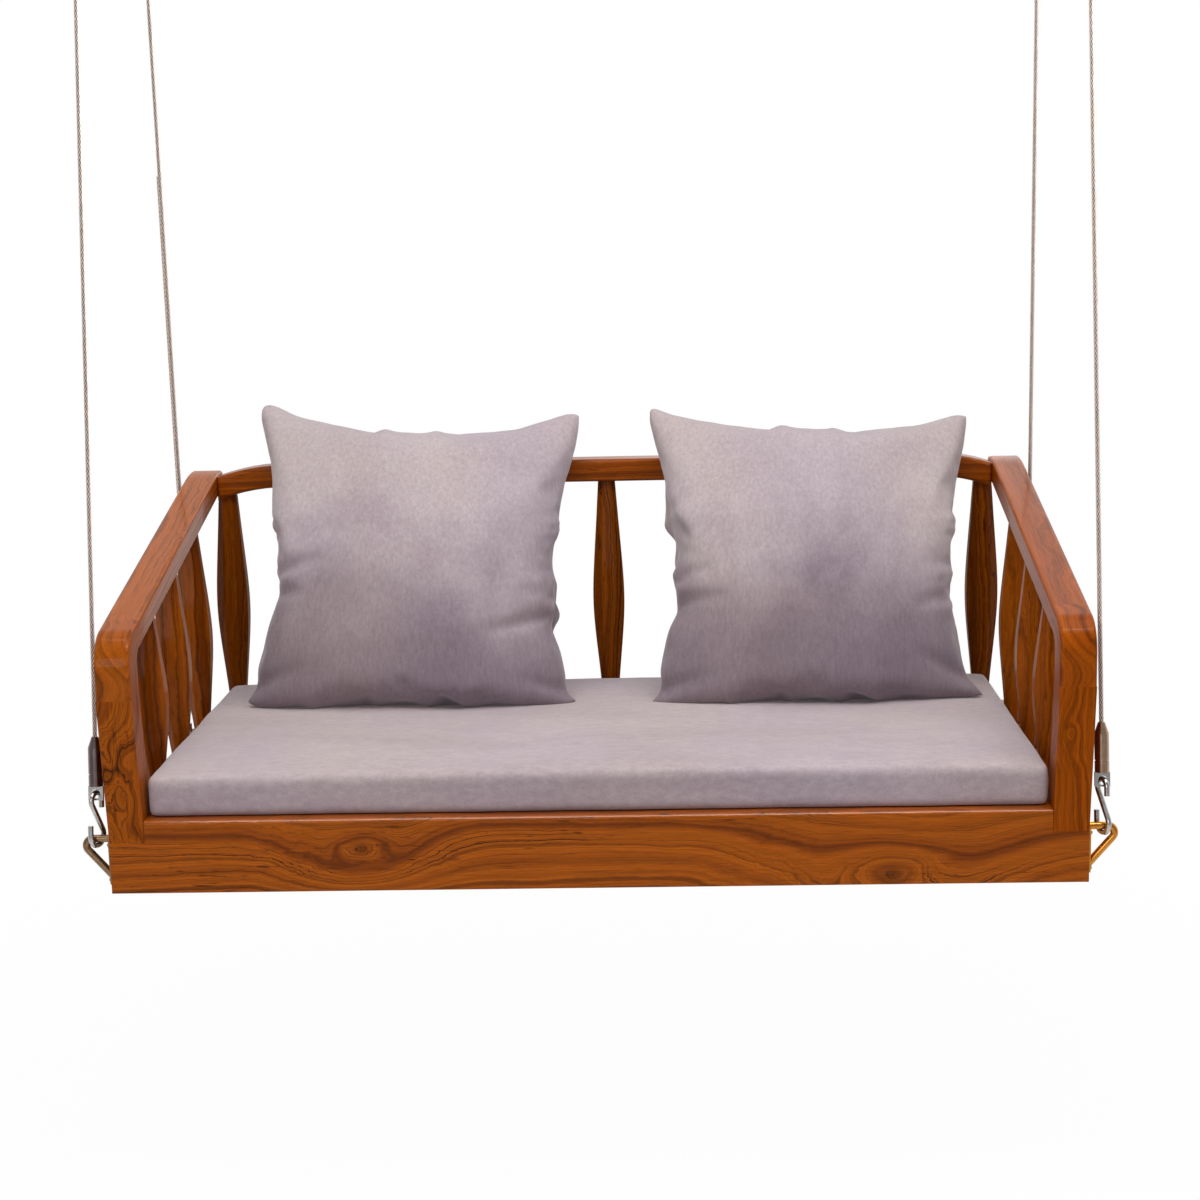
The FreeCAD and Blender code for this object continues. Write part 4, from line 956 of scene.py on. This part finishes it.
def make_cushion(material):
    low, high = (Vector(corner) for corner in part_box("seat_cushion"))
    start = (low.x, low.y + CUSHION_FRONT_GAP, low.z)
    end = (high.x, high.y, low.z + CUSHION_EDGE_HIGH)
    mesh = rounded_slab(start, end, CUSHION_ROUND, CUSHION_STEP)
    piece = finish_mesh("seat_cushion_cover", mesh, material)
    simulate(piece, CUSHION_PRESSURE, CUSHION_REACH, CUSHION_STIFF, CUSHION_BENDING)
    for vertex in piece.data.vertices:
        shape_cushion(vertex.co, low, high)
    subdivided(piece)
    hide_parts("seat_cushion")
    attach(piece, "seat")


# The frame's wood: the back rail is of a redder, deeper board; the right-hand pieces take the same redder
# tint as painted warm light from the right
DEEP_RED_AND_WARM_LIGHT = (0.90, 0.78, 0.45)
PLAIN = (0.97, 0.95, 0.90)
# The right-hand tint is painted warm light from the right
SIDE_TINTS = {"left": PLAIN, "right": DEEP_RED_AND_WARM_LIGHT}
SIDE_COATS = {"left": 0.20, "right": 0.10}
# Knots: place along and across the fibre, size, how tight the rings, how dark the eye
KNOT_LEFT = (-0.293, -1.195, 0.042, 1.9, 0.75)
KNOT_RIGHT = (0.366, -1.237, 0.068, 1.7, 0.85)
POST_KNOTS = {"left": ((-1.120, -0.590, 0.030, 2.2, 0.10), (-1.075, -0.604, 0.020, 2.0, 0.10)),
              "right": ((-1.060, 0.585, 0.016, 1.6, 0.15),)}
UPRIGHT = (0, 0, 1)
BACKWARD = (0, 1, 0)
ALONG_ARM = (0, 1, 0.133 / 0.550)
BEND_CENTRE = (0, FRONT + 0.061, SEAT_LOW + 0.263)
BIRCH = ((0.62, 0.47, 0.30), (0.50, 0.34, 0.19))
PINE = ((0.58, 0.40, 0.22), (0.44, 0.27, 0.13))


def paint(name, material):
    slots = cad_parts[name].data.materials
    slots.clear()
    slots.append(material)


def paint_side(side, sign):
    # On the right-hand pieces the tint is painted warm light
    tint = SIDE_TINTS[side]
    coat = SIDE_COATS[side]
    paint(f"side_rail_{side}", teak(f"teak_side_rail_{side}", BACKWARD, seed=5 + sign, tone=0.85))
    paint(f"post_{side}", teak(f"teak_post_{side}", UPRIGHT, seed=8.2 + sign, tone=0.78, figure=0.6,
                               knots=POST_KNOTS[side], tint=tint, coat=coat / 2))
    paint(f"arm_bend_{side}", teak(f"teak_bend_{side}", UPRIGHT, seed=11.5 + sign, tone=0.80, figure=0.25,
                                   bend_centre=BEND_CENTRE, streaks=0.7, tint=tint, coat=coat))
    paint(f"arm_{side}", teak(f"teak_arm_{side}", ALONG_ARM, seed=14.2 + sign, tone=0.80, figure=0.5,
                              streaks=0.7, tint=tint, coat=coat))


def paint_wood():
    paint("front_rail", teak("teak_front_rail", seed=0.4, tone=0.87, figure=0.50, tint=PLAIN,
                             knots=(KNOT_LEFT, KNOT_RIGHT), coat=0.18, top_coat=1.0))
    paint("rear_rail", teak("teak_rear_rail", seed=2.3, figure=0.8))
    paint("back_rail", teak("teak_back_rail", seed=4.1, tone=0.66, figure=0.5, streaks=0.7, tint=DEEP_RED_AND_WARM_LIGHT))
    for side, sign in SIDES:
        paint_side(side, sign)
    back = teak("teak_back_spindles", UPRIGHT, seed=17.7, tone=0.50, figure=0.9, polish=0.3)
    flank = teak("teak_side_spindles", UPRIGHT, seed=21.3, tone=0.68, polish=0.6)
    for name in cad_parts:
        if name.startswith("back_spindle"):
            paint(name, back)
        if name.startswith("side_spindle"):
            paint(name, flank)
    paint("seat_board", pale_wood("birch_board", *BIRCH))
    paint("seat_bearers", pale_wood("pine_bearers", *PINE))


# The hanging gear: its left brass is older, darker and more tarnished than its right; the left barrels are
# darker as painted dark reflection, the right ones warmer as painted warm light
STEEL = (0.56, 0.545, 0.53)
SATIN_STEEL = (0.5, 0.5, 0.5)
SCREW_STEEL = (0.5, 0.46, 0.38)
# Left barrels darkened as painted dark reflection, right ones warmed as painted warm light
BARREL_STEEL_PAINTED_LIGHT = {"left": (0.22, 0.165, 0.165), "right": (0.49, 0.33, 0.23)}
ROPE_STEEL = (0.97, 0.83, 0.75)
# Near black: painted shadow in the grooves between a rope's strands
ROPE_SHADOW_CORE = (0.012, 0.009, 0.008)
ROPE_GRIME = (0.10, 0.08, 0.06)
# Brass of each side: colour, roughness, how far tarnish covers it, and the tarnish
BRASS = {"left": ((0.31, 0.19, 0.11), 0.30, 0.5, (0.10, 0.08, 0.03)),
         "right": ((0.70, 0.29, 0.05), 0.24, 0.35, (0.12, 0.05, 0.01))}


def paint_metal():
    polished = metal("polished_steel", STEEL, 0.20)
    satin = metal("satin_steel", SATIN_STEEL, 0.34)
    # Barrel steel per side, with painted dark reflection on the left and painted warm light on the right
    barrels = {side: metal(f"barrel_steel_painted_light_{side}", colour, 0.20) for side, colour in BARREL_STEEL_PAINTED_LIGHT.items()}
    for corner in CORNERS:
        side = corner.split("_")[1]
        for kind in ("s_hook", "eye", "top_terminal"):
            paint(f"{kind}_{corner}", polished)
        paint(f"barrel_{corner}", barrels[side])
        paint(f"ceiling_mount_{corner}", satin)
        paint(f"bracket_{corner}", metal(f"brass_{corner}", *BRASS[side]))
    paint("wood_screws", metal("screw_steel", SCREW_STEEL, 0.3, spots=0.3))


def make_ropes():
    material = metal("wire_rope", ROPE_STEEL, 0.42, spots=0.25, spot_colour=ROPE_GRIME)
    # The ropes' dark core: painted shadow in the grooves
    shadow_core = metal("wire_rope_shadow_core", ROPE_SHADOW_CORE, 0.50)
    for end, _ in ENDS:
        for side, _ in SIDES:
            corner = f"{end}_{side}"
            low, high = rope_ends(end, side)
            piece, path = make_rope(f"wire_rope_{corner}", low, high, material, shadow_core)
            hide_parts(f"rope_{corner}")
            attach(piece, f"hanger_{corner}")
    tail, path = make_rope("wire_rope_tail", TAIL_LOW, TAIL_HIGH, material, shadow_core)
    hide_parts("rope_rear_left")
    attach(tail, "hanger_rear_left")


# Upholstery of the soft pieces: repeats per metre of its patches and strokes, and the height below which
# its colour is darkened as painted shade, with that shade's fade and tint
SEAT_CLOTH = {"patches": (3.0, 9.0, 12.0), "stroke": (70, 160, 110), "tone": 1.02,
              "below": -1.104, "fade": 0.016, "low_shade_tint": (0.80, 0.78, 0.82)}
PILLOW_CLOTH = {"patches": (6.0, 6.0, 4.0), "stroke": (240, 240, 45), "tone": 0.96,
                "below": -0.800, "fade": 0.240, "low_shade_tint": (0.520, 0.485, 0.530)}
CLOTH_SEEDS = {"left": 2.0, "right": 5.0}


def make_soft_pieces():
    make_cushion(upholstery("velvet_seat", seed=0.0, **SEAT_CLOTH))
    for side, _ in SIDES:
        make_pillow(side, upholstery(f"velvet_pillow_{side}", seed=CLOTH_SEEDS[side], **PILLOW_CLOTH))


# Floor, backdrop and lamps
FLOOR_SIDE = 24
FLOOR_UNDER_SEAT = 0.42
FLOOR_GREY = 0.86
# Between these distances the floor goes over into the white backdrop
FLOOR_FADE = (0.7, 2.2)
FLOOR_WHITE = 0.975
# How much of the white shows in polished things: little in front of the swing, all
# behind it, and where that changes
FLOOR_IN_GLOSS = 0.15
FLOOR_TURNS = (-1.5, 0.3)
ROOM_IN_GLOSS = 0.12
ROOM_TURNS = (-0.35, 0.25)
AMBIENT = (1.0, 0.985, 0.97, 1)
AMBIENT_STRENGTH = 0.30
WHITE = (1, 1, 1, 1)
SEAT_MIDDLE = Vector((0, 0, SEAT_LOW + 0.2))
# Lamps that look at the middle of the seat: name, place, size and watts
LAMPS = (("overhead", (0.2, -0.7, 1.2), (2.6, 1.8), 42),
         ("strip", (0.2, -1.1, 0.9), (2.6, 0.06), 14),
         ("front_fill", (-0.9, -3.6, -0.3), (1.8, 1.6), 20),
         ("back_fill", (0.9, 3.4, 0.5), (2.0, 1.6), 12))


def blend_to_white(tree, lit, white, output, in_gloss, in_view=1.0):
    # The camera sees white by in_view and gloss by in_gloss; glass lets all of it through.
    path = node(tree, "LightPath").outputs
    seen = maths(tree, "MAXIMUM", maths(tree, "MULTIPLY", path["Is Camera Ray"], in_view),
                 maths(tree, "MULTIPLY", path["Is Glossy Ray"], in_gloss))
    seen = maths(tree, "MAXIMUM", seen, path["Is Transmission Ray"])
    blend = node(tree, "MixShader", {}, Fac=seen)
    tree.links.new(lit.outputs[0], blend.inputs[1])
    tree.links.new(white.outputs[0], blend.inputs[2])
    tree.links.new(blend.outputs[0], output.inputs["Surface"])


def make_floor():
    bpy.ops.mesh.primitive_plane_add(size=FLOOR_SIDE, location=(0, 0, SEAT_LOW - FLOOR_UNDER_SEAT))
    floor = bpy.context.object
    floor.name = "floor"
    material, tree, shader = new_material("pale_floor")
    shader.inputs["Base Color"].default_value = (*grey(FLOOR_GREY), 1)
    shader.inputs["Roughness"].default_value = 0.9
    output = [item for item in tree.nodes if item.type == "OUTPUT_MATERIAL"][0]
    coords = object_coordinates(tree)
    in_view = smooth_step(tree, length_of(tree, coords), *FLOOR_FADE, FLOOR_WHITE, 1.0)
    in_gloss = smooth_step(tree, part_of(tree, coords, "Y"), *FLOOR_TURNS, FLOOR_IN_GLOSS, 1.0)
    white = node(tree, "Emission", {}, Color=WHITE, Strength=1.0)
    blend_to_white(tree, shader, white, output, in_gloss, in_view)
    floor.data.materials.append(material)


def make_backdrop():
    world = bpy.data.worlds.new("studio")
    scene.world = world
    world.use_nodes = True
    tree = world.node_tree
    tree.nodes.clear()
    way = part_of(tree, node(tree, "TexCoord").outputs["Generated"], "Y")
    in_gloss = smooth_step(tree, way, *ROOM_TURNS, ROOM_IN_GLOSS, 1.0)
    ambient = node(tree, "Background", {}, Color=AMBIENT, Strength=AMBIENT_STRENGTH)
    white = node(tree, "Background", {}, Color=WHITE, Strength=1.0)
    blend_to_white(tree, ambient, white, node(tree, "OutputWorld"), in_gloss)


def make_lamp(name, place, size, power):
    data = bpy.data.lights.new(name, "AREA")
    data.shape = "RECTANGLE"
    data.size, data.size_y = size
    data.energy = power
    made = bpy.data.objects.new(name, data)
    scene.collection.objects.link(made)
    made.location = place
    made.rotation_euler = (SEAT_MIDDLE - Vector(place)).to_track_quat("-Z", "Y").to_euler()


make_ropes()
paint_wood()
paint_metal()
make_soft_pieces()
make_floor()
make_backdrop()
for name, place, size, power in LAMPS:
    make_lamp(name, place, size, power)
